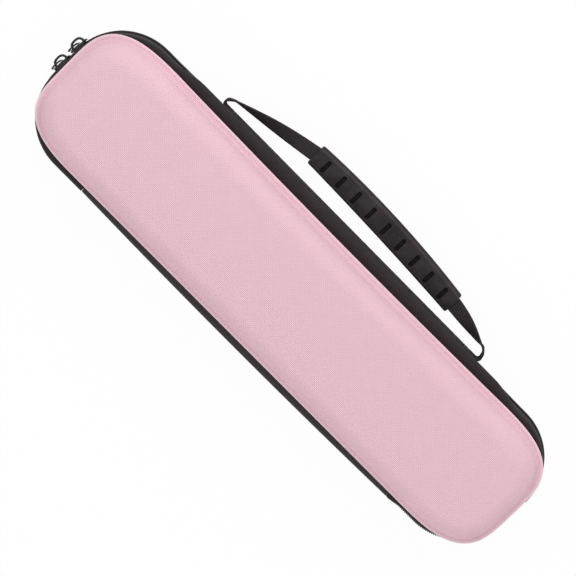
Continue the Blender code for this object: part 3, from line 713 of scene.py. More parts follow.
class Route:
    """A path through points, with an outward direction at each, that is read by its run."""

    def __init__(self, places: list[Place]) -> None:
        """Measures a path.

        Args:
            places: Its points and their outward directions.
        """
        self.places = places
        self.runs = runs_along([point for point, _ in places])
        self.length = self.runs[-1]

    def at(self, run: float) -> tuple[Vector, Vector, Vector]:
        """Reads the path at a run.

        Args:
            run: Length along the path.

        Returns:
            The point, the outward direction and the direction along the path.
        """
        run = min(max(run, 0.0), self.length * (1 - 1e-9))
        index = min(bisect_right(self.runs, run) - 1, len(self.places) - 2)
        span = self.runs[index + 1] - self.runs[index]
        share = (run - self.runs[index]) / span
        before, after = self.places[index], self.places[index + 1]
        outward = before[1].lerp(after[1], share).normalized()
        along = (after[0] - before[0]).normalized()
        return before[0].lerp(after[0], share), outward, along


def soften(path: list[Place], rounds: int) -> list[Place]:
    """Cuts the corners of a path until it is smooth, and keeps its ends.

    Args:
        path: Places on the path.
        rounds: How often every corner is cut.

    Returns:
        The smooth path.
    """
    for _ in range(rounds):
        cut = [path[0]]
        for before, after in zip(path, path[1:]):
            for share in (0.25, 0.75):
                cut.append((before[0].lerp(after[0], share), before[1].lerp(after[1], share)))
        path = cut + [path[-1]]
    return path


def flat_section(width: float, thickness: float) -> Section:
    """Section of a flat strap with round edges.

    Args:
        width: Full width.
        thickness: Full thickness.

    Returns:
        Places across and up, anticlockwise.
    """
    half = width / 2
    radius = thickness / 2
    inner = half - radius
    across = [inner * (1 - 2 * step / 8) for step in range(9)]
    section = [(place, radius) for place in across]
    section += [(-inner - radius * sin(pi * step / 4), radius * cos(pi * step / 4))
                for step in range(1, 4)]
    section += [(-place, -radius) for place in across]
    section += [(inner + radius * sin(pi * step / 4), -radius * cos(pi * step / 4))
                for step in range(1, 4)]
    return section


def ribbon(path: list[Place], section: Section, sway: float = 0.0) -> Patch:
    """Strap along a path of centres and width directions.

    Args:
        path: Centres with their width directions.
        section: Places across and up.
        sway: Height of the small puckers that sewing leaves.

    Returns:
        The closed surface.
    """
    rows = []
    runs = []
    edges = []
    run = 0.0
    half = max(across for across, _ in section)
    for index, (centre, width) in enumerate(path):
        before = path[max(index - 1, 0)][0]
        after = path[min(index + 1, len(path) - 1)][0]
        along = (after - before).normalized()
        across = (width - along * width.dot(along)).normalized()
        up = along.cross(across)
        if index:
            run += (centre - before).length
        lift = up * (sway * sin(2 * pi * run / PUCKER_LENGTH))
        rows.append([centre + lift + across * side + up * height for side, height in section])
        line = [(run, side) for side, _ in section]
        runs.append(line + [line[0]])
        # Edge marks on the strap's rounded edges, where the finish's rim colour goes: painted shade on
        # the webbing, a paler edge on binding cloth.
        edges.append([max(0.0, abs(side) / half - 0.84) / 0.16 for side, _ in section])
    return Patch(rows, runs, ring=True, capped=True, edge=edges)


def tube(centres: list[tuple[Vector, Vector]], radii: list[float], sides: int = 8,
         loop: bool = False) -> Patch:
    """Round tube along centres, with one direction square to the path at each.

    Args:
        centres: Centres with a direction that starts each ring.
        radii: Radius at each centre.
        sides: Points in each ring.
        loop: Whether the last ring joins the first.

    Returns:
        The closed surface.
    """
    rows = []
    runs = []
    count = len(centres)
    run = 0.0
    for index, (centre, start) in enumerate(centres):
        before = centres[(index - 1) % count if loop else max(index - 1, 0)][0]
        after = centres[(index + 1) % count if loop else min(index + 1, count - 1)][0]
        along = (after - before).normalized()
        first = (start - along * start.dot(along)).normalized()
        second = along.cross(first)
        run += (centre - before).length if index else 0.0
        turns = [2 * pi * side / sides for side in range(sides)]
        rows.append([centre + (first * cos(t) + second * sin(t)) * radii[index] for t in turns])
        runs.append([(run, radii[index] * 2 * pi * side / sides) for side in range(sides + 1)])
    return Patch(rows, runs, ring=True, loop=loop, capped=not loop)


@dataclass(frozen=True)
class Stitching:
    """A row of lockstitches along a route."""

    pitch: float = 0.0030
    length: float = 0.0022
    radius: float = 0.00022
    lift: float = 0.0

    def stitch(self, route: Route, run: float) -> Patch:
        """One stitch, which dips into the cloth at both ends.

        Args:
            route: The seam.
            run: Where the stitch starts.

        Returns:
            Its surface.
        """
        centres = []
        radii = []
        for share in (0.0, 0.18, 0.5, 0.82, 1.0):
            point, outward, _ = route.at(run + self.length * share)
            dip = self.radius * 1.8 * (2 * share - 1) ** 4
            centres.append((point + outward * (self.lift - dip), outward))
            radii.append(self.radius * (1 - 0.45 * (2 * share - 1) ** 4))
        return tube(centres, radii, 6)

    def sew(self, route: Route) -> list[Patch]:
        """Every stitch of a seam."""
        count = int(route.length / self.pitch)
        return [self.stitch(route, route.length / count * index) for index in range(count)]


# Plan of the case

class Station(NamedTuple):
    """A place on the zip line, with the direction square to it and the run along it."""

    point: Vector
    normal: Vector
    run: float


@dataclass(frozen=True)
class CasePlan:
    """Sizes and curves that all pieces of the case share."""

    length: float = 0.430
    width: float = 0.100
    corner_length: float = 0.058
    corner_width: float = 0.0410
    corner_power: float = 3.0
    handle_side_bow: float = 0.0015
    back_depth: float = 0.0205
    front_depth: float = 0.0215
    wall: float = 0.0035
    rim_thickness: float = 0.0014
    flange_width: float = 0.0018
    flange_fillet: float = 0.0030
    shoulder_reach: float = 0.0145
    lining: float = 0.0008
    back_band: float = 0.0135
    front_band: float = 0.0065
    zip_side_standoff: float = 0.0030
    zip_end_standoff: float = 0.0011
    zip_corner_radius: float = 0.0404
    band_corner_radius: float = 0.0424
    far_end_reach: float = 0.0013
    far_end_from: float = 0.12
    far_end_side: tuple[float, float] = (-0.040, 0.010)
    hinge_band_setback: float = 0.0277
    tape_tuck: float = 0.0060
    least_flare: float = 0.0006
    gap: float = 0.0003
    flare_steps: int = 7
    corner_steps: int = 26
    side_steps: int = 56

    @property
    def half_length(self) -> float:
        """Half the shells' length."""
        return self.length / 2

    @property
    def half_width(self) -> float:
        """Half the shells' width."""
        return self.width / 2

    @property
    def zip_z(self) -> float:
        """Height of the zip line."""
        return self.back_depth + self.back_band

    @property
    def front_rim_z(self) -> float:
        """Height of the front shell's rim."""
        return self.zip_z + self.front_band

    @property
    def wall_line(self) -> float:
        """Inset at which the shell's wall starts."""
        return self.flange_width + self.flange_fillet

    @property
    def zip_half(self) -> Vector:
        """Half length and half width of the zip line."""
        return Vector((self.half_length + self.zip_end_standoff,
                       self.half_width + self.zip_side_standoff))

    @property
    def zip_corner(self) -> Vector:
        """Centre of the zip line's corner at +X and +Y."""
        return self.zip_half - Vector((self.zip_corner_radius, self.zip_corner_radius))

    @property
    def hinge_end(self) -> float:
        """Half length of the hinge band."""
        return self.zip_corner.x - self.hinge_band_setback

    def rim_z(self, half: Half) -> float:
        """Height of one half's rim."""
        return self.front_rim_z if half is Half.FRONT else self.back_depth

    def depth(self, half: Half) -> float:
        """Depth of one half."""
        return self.front_depth if half is Half.FRONT else self.back_depth

    def bow(self, x: float, straight: float, y: float) -> float:
        """How far a long side bows inward at a place along it."""
        bowed = y <= 0 and abs(x) < straight
        return self.handle_side_bow * (1 - (x / straight) ** 2) if bowed else 0.0

    def ring(self, inset: float, z: float) -> list[Vector]:
        """Outline of the shell at an inset from its rim, anticlockwise from the +X end.

        Args:
            inset: Distance inside the rim.
            z: Height of the outline.

        Returns:
            Its points.
        """
        reach_x = self.corner_length - inset
        reach_y = max(self.corner_width - inset, 0.0004)
        half_y = self.half_width - inset
        straight = self.half_length - self.corner_length
        bend = 2 / self.corner_power
        points = []
        for x_sign, y_sign in QUADRANTS:
            steps = range(self.corner_steps + 1)
            for step in steps if x_sign == y_sign else reversed(steps):
                share = step / self.corner_steps
                turn = pi / 2 * share * share * (3 - 2 * share)
                x = straight + reach_x * max(cos(turn), 0.0) ** bend
                y = half_y - reach_y + reach_y * max(sin(turn), 0.0) ** bend
                points.append(Vector((x_sign * x, y_sign * y, z)))
            if x_sign == y_sign:
                for step in range(1, self.side_steps):
                    x = y_sign * straight * (1 - 2 * step / self.side_steps)
                    points.append(Vector((x, y_sign * (half_y - self.bow(x, straight, y_sign)), z)))
        return points

    def outward(self, ring: list[Vector]) -> list[Vector]:
        """Directions that point out of an outline, square to it, one for each of its points."""
        along = [(b - a).normalized() for a, b in zip(ring[-1:] + ring[:-1], ring[1:] + ring[:1])]
        return [Vector((way.y, -way.x, 0)) for way in along]

    def level(self, x: float, y: float, inset: float) -> float:
        """Tells which side of the shell's outline a place is on.

        Args:
            x: Place along the case.
            y: Place across the case.
            inset: Inset of the outline.

        Returns:
            A negative number inside the outline and a positive one outside it.
        """
        straight_x = self.half_length - self.corner_length
        straight_y = self.half_width - self.corner_width
        over_x = max(abs(x) - straight_x, 0.0) / (self.corner_length - inset)
        out_y = abs(y) + self.bow(x, straight_x, y) - straight_y
        over_y = max(out_y, 0.0) / (self.corner_width - inset)
        return over_x ** self.corner_power + over_y ** self.corner_power - 1

    def inside_by(self, station: Station, inset: float) -> float:
        """How far the shell's outline at an inset lies inside the zip line.

        Args:
            station: Place on the zip line.
            inset: Inset of the outline.

        Returns:
            The distance along the station's normal.
        """
        near, far = -self.half_width / 2, self.half_width / 2
        for _ in range(26):
            middle = (near + far) / 2
            probe = station.point - station.normal * middle
            if self.level(probe.x, probe.y, inset) > 0:
                near = middle
            else:
                far = middle
        return (near + far) / 2

    def wall_places(self, depth: float, offset: float, steps: int = 16) -> Section:
        """Insets and heights of a surface inside the shell's outer face.

        Args:
            depth: Depth of the half.
            offset: Distance inside the outer face.
            steps: Steps round the shoulder.

        Returns:
            The profile from the rim to the flat face.
        """
        foot = self.rim_thickness + self.flange_fillet
        rise = depth - foot - offset
        reach = self.shoulder_reach - offset
        return [(self.wall_line + offset, 0.0)] + [
            (self.wall_line + offset + reach * (1 - cos(turn)), foot + rise * sin(turn))
            for turn in quarter(steps)]

    def zip_route(self, start_x: float, spacing: float) -> list[Station]:
        """Stations from the hinge side round both ends and the handle side.

        Args:
            start_x: Where the line starts and ends on the hinge side.
            spacing: Distance between stations.

        Returns:
            The stations.
        """
        half, radius = self.zip_half, self.band_corner_radius
        corner = half - Vector((radius, radius))
        legs = (((start_x, half.y), (corner.x, half.y), 90, 90), ((corner.x, corner.y), None, 90, 0),
                ((half.x, corner.y), (half.x, -corner.y), 0, 0),
                ((corner.x, -corner.y), None, 0, -90),
                ((corner.x, -half.y), (-corner.x, -half.y), -90, -90),
                ((-corner.x, -corner.y), None, -90, -180),
                ((-half.x, -corner.y), (-half.x, corner.y), 180, 180),
                ((-corner.x, corner.y), None, 180, 90),
                ((-corner.x, half.y), (-start_x, half.y), 90, 90))
        places = []
        for first, last, angle, last_angle in legs:
            reach = (radius * pi / 2 if last is None
                     else (Vector(last) - Vector(first)).length)
            count = max(int(round(reach / spacing)), 1)
            for step in range(count):
                share = step / count
                turn = radians(angle + (last_angle - angle) * share)
                normal = Vector((cos(turn), sin(turn), 0))
                base = Vector((*first, 0))
                point = (base + normal * radius if last is None
                         else base.lerp(Vector((*last, 0)), share))
                places.append((point, normal))
        places.append((Vector((-start_x, half.y, 0)), Vector((0, 1, 0))))
        route = Route(places)
        return [Station(p, n, r) for (p, n), r in zip(places, route.runs)]

    def flare(self, station: Station, tuck_z: float, outward: float,
              turn_z: float) -> Section:
        """Section of a tape that runs out from under the rim and turns towards the zip.

        Args:
            station: Place on the zip line.
            tuck_z: Height of the part under the rim.
            outward: How far outside the zip line the tape turns.
            turn_z: Height at which the turn ends.

        Returns:
            Places outward and up.
        """
        start = -max(self.inside_by(station, 0.0), self.least_flare - outward)
        return [(-self.inside_by(station, self.tape_tuck), tuck_z)] + [
            (start + (outward - start) * sin(turn), turn_z + (tuck_z - turn_z) * cos(turn))
            for turn in quarter(self.flare_steps)]


def tape(name: str, stations: list[Station], sections: list[Section],
         thickness: float, marks: tuple[float, ...] = ()) -> Item:
    """Cloth tape along stations.

    Args:
        name: The object's name.
        stations: Places along the tape.
        sections: Places outward and up for each station.
        thickness: Its thickness.
        marks: Edge marks of the section's first places.

    Returns:
        The tape.
    """
    rows = []
    runs = []
    for station, section in zip(stations, sections):
        rows.append([station.point + station.normal * out + UP * z for out, z in section])
        runs.append([(station.run, span) for span in runs_along(rows[-1])])
    line = list(marks) + [0.0] * (len(sections[0]) - len(marks))
    patch = Patch(rows, runs, edge=[line for _ in rows])
    return thicken(build(name, [patch]), thickness)


# Moulded halves

@dataclass
class ShellHalf:
    """One moulded half: woven cover on foam, pressed rim, stitching, lining and binding."""

    plan: CasePlan
    half: Half
    crown: float = 0.0
    edge_round: float = 0.0005
    rim_highlight_span: tuple[float, float] = (0.0006, 0.0024)
    face_insets: tuple[float, ...] = (0.0205, 0.0225, 0.0255, 0.0295, 0.0335, 0.0375, 0.0405)
    stitch_inset: float = 0.0015
    binding_width: float = 0.0024
    binding_height: float = 0.0016
    binding_clearance: float = 0.0007
    binding_stitch: float = 0.0022
    binding_swell: float = 0.05

    def z(self, height: float) -> float:
        """Height in the case of a height above the rim."""
        return self.plan.rim_z(self.half) + self.half.value * height

    def outer_places(self) -> Section:
        """Insets and heights from under the rim up to the flat face.

        Returns:
            The outer profile.
        """
        plan, radius = self.plan, self.edge_round
        places = [(radius * (1 - sin(turn)), radius * (1 - cos(turn))) for turn in quarter(4)]
        places += [(radius * (1 - cos(turn)), plan.rim_thickness - radius * (1 - sin(turn)))
                   for turn in quarter(4)]
        places += [(plan.flange_width + plan.flange_fillet * sin(turn),
                    plan.rim_thickness + plan.flange_fillet * (1 - cos(turn)))
                   for turn in quarter(9)[:-1]]
        return places + plan.wall_places(plan.depth(self.half), 0.0, steps=20)[1:]

    def face_places(self) -> Section:
        """Insets and heights of the flat face, which rises slightly to its middle.

        Returns:
            The profile from the shoulder to the middle.
        """
        plan = self.plan
        edge = plan.wall_line + plan.shoulder_reach
        shares = [(inset - edge) / (self.face_insets[-1] - edge) for inset in self.face_insets]
        return [(inset, plan.depth(self.half) + self.crown * sin(pi / 2 * share))
                for inset, share in zip(self.face_insets, shares)]

    def make_cover(self) -> Item:
        """Makes the shell with its woven cover.

        Returns:
            The shell.
        """
        plan = self.plan
        outer = self.outer_places()
        top = plan.ring(plan.wall_line + plan.shoulder_reach, 0.0)
        ways = plan.outward(top)
        spans = runs_along([Vector(place) for place in outer[::-1]])[::-1]
        inner = plan.wall_places(plan.depth(self.half), plan.wall)[::-1]
        places = inner + outer + self.face_places()
        rows = [plan.ring(inset, self.z(height)) for inset, height in places]
        runs = [[(p.x, p.y) for p in row] for row in rows]
        runs[len(inner):len(inner) + len(outer)] = [
            [(p.x + w.x * span, p.y + w.y * span) for p, w in zip(top, ways)] for span in spans]
        # Painted highlight: edge marks lighten the outer rim towards the cover's rim colour, fading out
        # over these insets.
        edges = [[1 - ease(*self.rim_highlight_span, inset)] * len(top) for inset, _ in places]
        if self.half is Half.FRONT:
            for point in (point for row in rows for point in row):
                share = ease(plan.far_end_from, plan.half_length, -point.x)
                point.x -= plan.far_end_reach * share * ease(*plan.far_end_side, point.y)
        cover = Patch(rows, runs, ring=True, capped=True, edge=edges)
        item = build(self.half.side + "_cover", [cover], 50.0)
        return PINK_COVER.dress(item, self.half.body, self.half.side + "_shell")

    def make_stitching(self) -> Item:
        """Sews the rim down round the flange.

        Returns:
            The stitches.
        """
        plan = self.plan
        ring = plan.ring(self.stitch_inset, self.z(plan.rim_thickness))
        lift = UP * self.half.value
        route = Route([(point, lift) for point in ring + ring[:1]])
        item = build(self.half.side + "_rim_stitching", Stitching().sew(route))
        return PINK_THREAD.dress(item, self.half.body)

    def make_lining(self) -> Item:
        """Makes the knitted lining inside the shell.

        Returns:
            The lining.
        """
        plan = self.plan
        near = plan.wall + plan.gap
        depth = plan.depth(self.half)
        places = plan.wall_places(depth, near, 10)[::-1] + plan.wall_places(depth, near + plan.lining, 10)
        rows = [plan.ring(inset, self.z(height)) for inset, height in places]
        runs = []
        for row in rows:
            drop = abs(row[0].z - self.z(depth))
            ways = plan.outward(row)
            runs.append([(p.x + w.x * drop, p.y + w.y * drop) for p, w in zip(row, ways)])
        item = build(self.half.side + "_lining_cloth", [Patch(rows, runs, ring=True, capped=True)])
        return LINING_CLOTH.dress(item, self.half.body, self.half.side + "_lining")

    def make_binding(self) -> Item:
        """Makes the bias binding over the seam inside the rim.

        Returns:
            The binding.
        """
        plan = self.plan
        middle = plan.tape_tuck + self.binding_clearance + self.binding_width / 2
        level = -self.half.value * (plan.gap + self.binding_height / 2)
        ring = plan.ring(middle, plan.rim_z(self.half) + level)
        ways = plan.outward(ring)
        section = flat_section(self.binding_width, self.binding_height)
        route = Route(list(zip(ring + ring[:1], ways + ways[:1])))
        rows = []
        count = int(route.length / self.binding_stitch)
        stops = [route.length * index / count for index in range(count + 1)]
        for run in stops[:-1]:
            point, outward, _ = route.at(run)
            swell = 1 + self.binding_swell * sin(2 * pi * run / (4 * self.binding_stitch))
            rows.append([point + outward * a * swell + UP * b * swell for a, b in section])
        runs = [[(run, a) for a, _ in section + section[:1]] for run in stops]
        item = build(self.half.side + "_binding_cloth", [Patch(rows, runs, ring=True, loop=True)])
        return BINDING_CLOTH.dress(item, self.half.body, self.half.side + "_binding")

    def make(self) -> list[Item]:
        """Makes the half's pieces."""
        return [self.make_cover(), self.make_stitching(), self.make_lining(), self.make_binding()]


# Zip band

@dataclass
class ZipBand:
    """The black band between the halves: tapes, gusset, coils and end tabs."""

    plan: CasePlan
    spacing: float = 0.0025
    coil_pitch: float = 0.0015
    coil_wire: float = 0.00033
    coil_reach: float = 0.00285
    coil_depth: float = 0.00042
    coil_seam: float = 0.00018
    coil_parting: float = 0.00055
    coil_steps: int = 9
    coil_shift: float = 0.00015
    chain_reach: float = 0.0030
    tape_thickness: float = 0.0007
    tape_turn: float = 0.0010
    tape_curl: tuple[tuple[float, float], ...] = ((1.0, 0.0002), (0.7, -0.0006), (0.0, -0.0012))
    # Edge marks that paint the shadow under the pink rim onto the front tape's first places.
    tape_rim_shadow: tuple[float, ...] = (1.0, 1.0, 0.80, 0.45, 0.25, 0.10)
    tape_lip: float = 0.0003
    hinge_side_lip: float = 0.0007
    handle_side_lip: float = 0.0038
    far_corner_lip: float = -0.0012
    lip_span: tuple[float, float] = (0.167, 0.140)
    drawn_in_run: float = 0.016
    back_tape_overlap: float = 0.0012
    back_tape_height: float = 0.0050
    gusset_thickness: float = 0.0010
    gusset_curve: float = 0.0032
    gusset_corner_curve: float = 0.0026
    gusset_zip_gap: float = 0.0018
    gusset_seam_inset: float = 0.0013
    gusset_seam: Stitching = Stitching(0.0028, 0.0020, 0.00020, -0.00008)
    tab_length: float = 0.0080
    tab_thickness: float = 0.0026
    parted_from: float = -0.0250
    parted_to: float = 0.0110
    parting_run: float = 0.0060

    @property
    def stations(self) -> list[Station]:
        """Places along the tapes."""
        return self.plan.zip_route(self.plan.hinge_end + self.plan.gap, self.spacing)

    def lip_at(self, station: Station) -> float:
        """How far the front tape bulges over the zip, which is least where the sliders run.

        Args:
            station: Place on the zip line.

        Returns:
            Distance outside the zip line.
        """
        x, towards_hinge = station.point.x, station.normal.y
        if towards_hinge < 0:
            return self.tape_lip + self.handle_side_lip * ease(*self.lip_span, abs(x))
        lip = self.tape_lip + self.hinge_side_lip * towards_hinge
        drawn_in = ease(self.plan.hinge_end, self.plan.hinge_end + self.drawn_in_run, -x)
        return lip + (self.far_corner_lip - lip) * drawn_in

    def make_tapes(self) -> list[Item]:
        """Makes the front tape, the back tape and the gusset.

        Returns:
            The three tapes.
        """
        plan = self.plan
        stations = self.stations
        tuck = plan.front_rim_z - plan.gap - self.tape_thickness / 2
        end = plan.zip_z + self.chain_reach + plan.gap
        front = []
        for station in stations:
            lip = self.lip_at(station)
            front.append(plan.flare(station, tuck, lip, end + self.tape_turn)
                         + [(lip * share, end + rise) for share, rise in self.tape_curl])
        front_tape = tape("front_tape", stations, front, self.tape_thickness, self.tape_rim_shadow)
        top = plan.zip_z - self.chain_reach - plan.gap
        heights = [top + self.back_tape_overlap, top, top - self.back_tape_height / 2,
                   top - self.back_tape_height]
        back = [[(0.0, z) for z in heights] for _ in stations]
        back_tape = tape("back_tape", stations, back, self.tape_thickness)
        outward = self.tape_thickness / 2 + plan.gap + self.gusset_thickness / 2
        tuck = plan.rim_z(Half.BACK) + plan.gap + self.gusset_thickness / 2
        top = plan.zip_z - self.chain_reach - self.gusset_zip_gap
        gusset = []
        for station in stations:
            corner = 1 - ease(*self.lip_span, abs(station.point.x))
            turn = tuck + self.gusset_curve + self.gusset_corner_curve * corner
            gusset.append(plan.flare(station, tuck, outward, turn)
                          + [(outward, turn + (top - turn) * step / 4) for step in range(1, 5)])
        back_gusset = tape("gusset", stations, gusset, self.gusset_thickness)
        return [TAPE_CLOTH.dress(front_tape, Body.LID, "front_zip_tape"),
                TAPE_CLOTH.dress(back_tape, Body.BASE, "back_zip_tape"),
                BAND_CLOTH.dress(back_gusset, Body.BASE, "back_gusset")]

    def make_gusset_seam(self) -> Item:
        """Sews the gusset's folded top edge to the zip tape.

        Returns:
            The stitches.
        """
        plan = self.plan
        outward = self.tape_thickness / 2 + plan.gap + self.gusset_thickness
        z = plan.zip_z - self.chain_reach - self.gusset_zip_gap - self.gusset_seam_inset
        route = Route([(s.point + s.normal * outward + UP * z, s.normal) for s in self.stations])
        return BLACK_THREAD.dress(build("gusset_seam", self.gusset_seam.sew(route)), Body.BASE)

    def make_coil(self, half: Half) -> Item:
        """Winds one half of the zip coil.

        Args:
            half: The half that the coil belongs to.

        Returns:
            The coil.
        """
        plan = self.plan
        stations = plan.zip_route(plan.hinge_end + self.tab_length + plan.gap, self.coil_pitch)
        route = Route([(s.point, s.normal) for s in stations])
        count = int(route.length / self.coil_pitch * self.coil_steps)
        centres = []
        for index in range(count + 1):
            run = route.length * index / count
            turn = 2 * pi * (run / self.coil_pitch + (0.5 if half is Half.FRONT else 0.0))
            point, outward, _ = route.at(run)
            parted = 0.0
            if point.x > plan.zip_corner.x:
                parted = (ease(self.parted_from, self.parted_from + self.parting_run, point.y)
                          * (1 - ease(self.parted_to - self.parting_run, self.parted_to, point.y)))
            tip = -self.coil_seam * (1 - parted) - self.coil_parting * parted - self.coil_wire
            far = self.coil_reach - self.coil_wire
            middle, swing = (far - tip) / 2, (far + tip) / 2
            level = plan.zip_z + half.value * (middle + swing * sin(turn))
            radial = (outward * cos(turn) + UP * half.value * sin(turn) * 0.6).normalized()
            centre = point + outward * (self.coil_shift + self.coil_depth * cos(turn))
            centres.append((Vector((centre.x, centre.y, level)), radial))
        item = build(half.side + "_coil", [tube(centres, [self.coil_wire] * len(centres), 6)])
        return COIL_NYLON.dress(item, half.body, half.side + "_zip_chain")

    def make_tabs(self) -> list[Item]:
        """Makes the folded cloth tabs at the zip's two ends.

        Returns:
            The tabs.
        """
        plan = self.plan
        made = []
        for name, x_sign in (("near", 1), ("far", -1)):
            start, reach = plan.hinge_end + plan.gap, self.tab_length - plan.gap
            z = plan.zip_z - self.chain_reach / 2 - plan.gap / 2
            path = [(Vector((x_sign * (start + reach * step / 12), plan.zip_half.y, z)), UP)
                    for step in range(13)]
            pinch = flat_section(self.chain_reach - plan.gap, self.tab_thickness * 0.92)
            item = build(name + "_end_tab", [ribbon(path, pinch)])
            made.append(BINDING_CLOTH.dress(item, Body.BASE, name + "_zip_tab"))
        return made

    def make(self) -> list[Item]:
        """Makes the band's pieces."""
        pieces = self.make_tapes() + [self.make_gusset_seam()]
        return pieces + [self.make_coil(half) for half in Half] + self.make_tabs()


@dataclass
class HingeBand:
    """The cloth hinge: one band from rim to rim on the side across from the handle."""

    plan: CasePlan
    thickness: float = 0.0012
    standoff: float = 0.0008
    bow: float = 0.0018
    fold_zone: float = 0.0006
    seam: Stitching = Stitching(0.0029, 0.0021, 0.00018, -0.0001)
    seam_levels: tuple[int, int] = (7, -8)

    def section(self, station: Station, outward: float) -> Section:
        """Section from under the back rim over the fold to under the front rim.

        Args:
            station: Place on the zip line.
            outward: How far the band stands outside the zip line.

        Returns:
            Places outward and up.
        """
        plan = self.plan
        places: list[Section] = []
        for half in Half:
            tuck = plan.rim_z(half) - half.value * (plan.gap + self.thickness / 2)
            fold = plan.zip_z + half.value * plan.gap / 2
            turn = (tuck + fold) / 2
            side = plan.flare(station, tuck, outward, turn)
            side += [(outward, turn + (fold - turn) * share) for share in (0.4, 0.75, 1.0)]
            places.append(side)
        return places[0] + places[1][::-1]

    def make(self) -> list[Item]:
        """Makes the band and its two rows of stitches.

        Returns:
            The pieces.
        """
        plan = self.plan
        reach = plan.hinge_end
        stations, sections = [], []
        for step in range(121):
            x = reach * (1 - 2 * step / 120)
            stations.append(Station(Vector((x, plan.zip_half.y, 0)), Vector((0, 1, 0)), reach - x))
            outward = self.standoff + self.bow * (1 - (x / reach) ** 2)
            sections.append(self.section(stations[-1], outward))
        band = tape("hinge_cloth", stations, sections, self.thickness)
        BAND_CLOTH.coat_only(band, "back_hinge_band", "front_hinge_band")
        face = plan.zip_half.y + self.standoff + self.bow
        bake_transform(band)
        made = [band]
        for half, level in zip(Half, self.seam_levels):
            places = []
            for station, section in zip(stations[3:-3], sections[3:-3]):
                out, z = section[level]
                places.append((station.point + station.normal * (out + self.thickness / 2)
                               + UP * z, station.normal))
            item = build(half.side + "_hinge_seam", self.seam.sew(Route(places)))
            made.append(BLACK_THREAD.dress(item, half.body))
        return made


# Handle

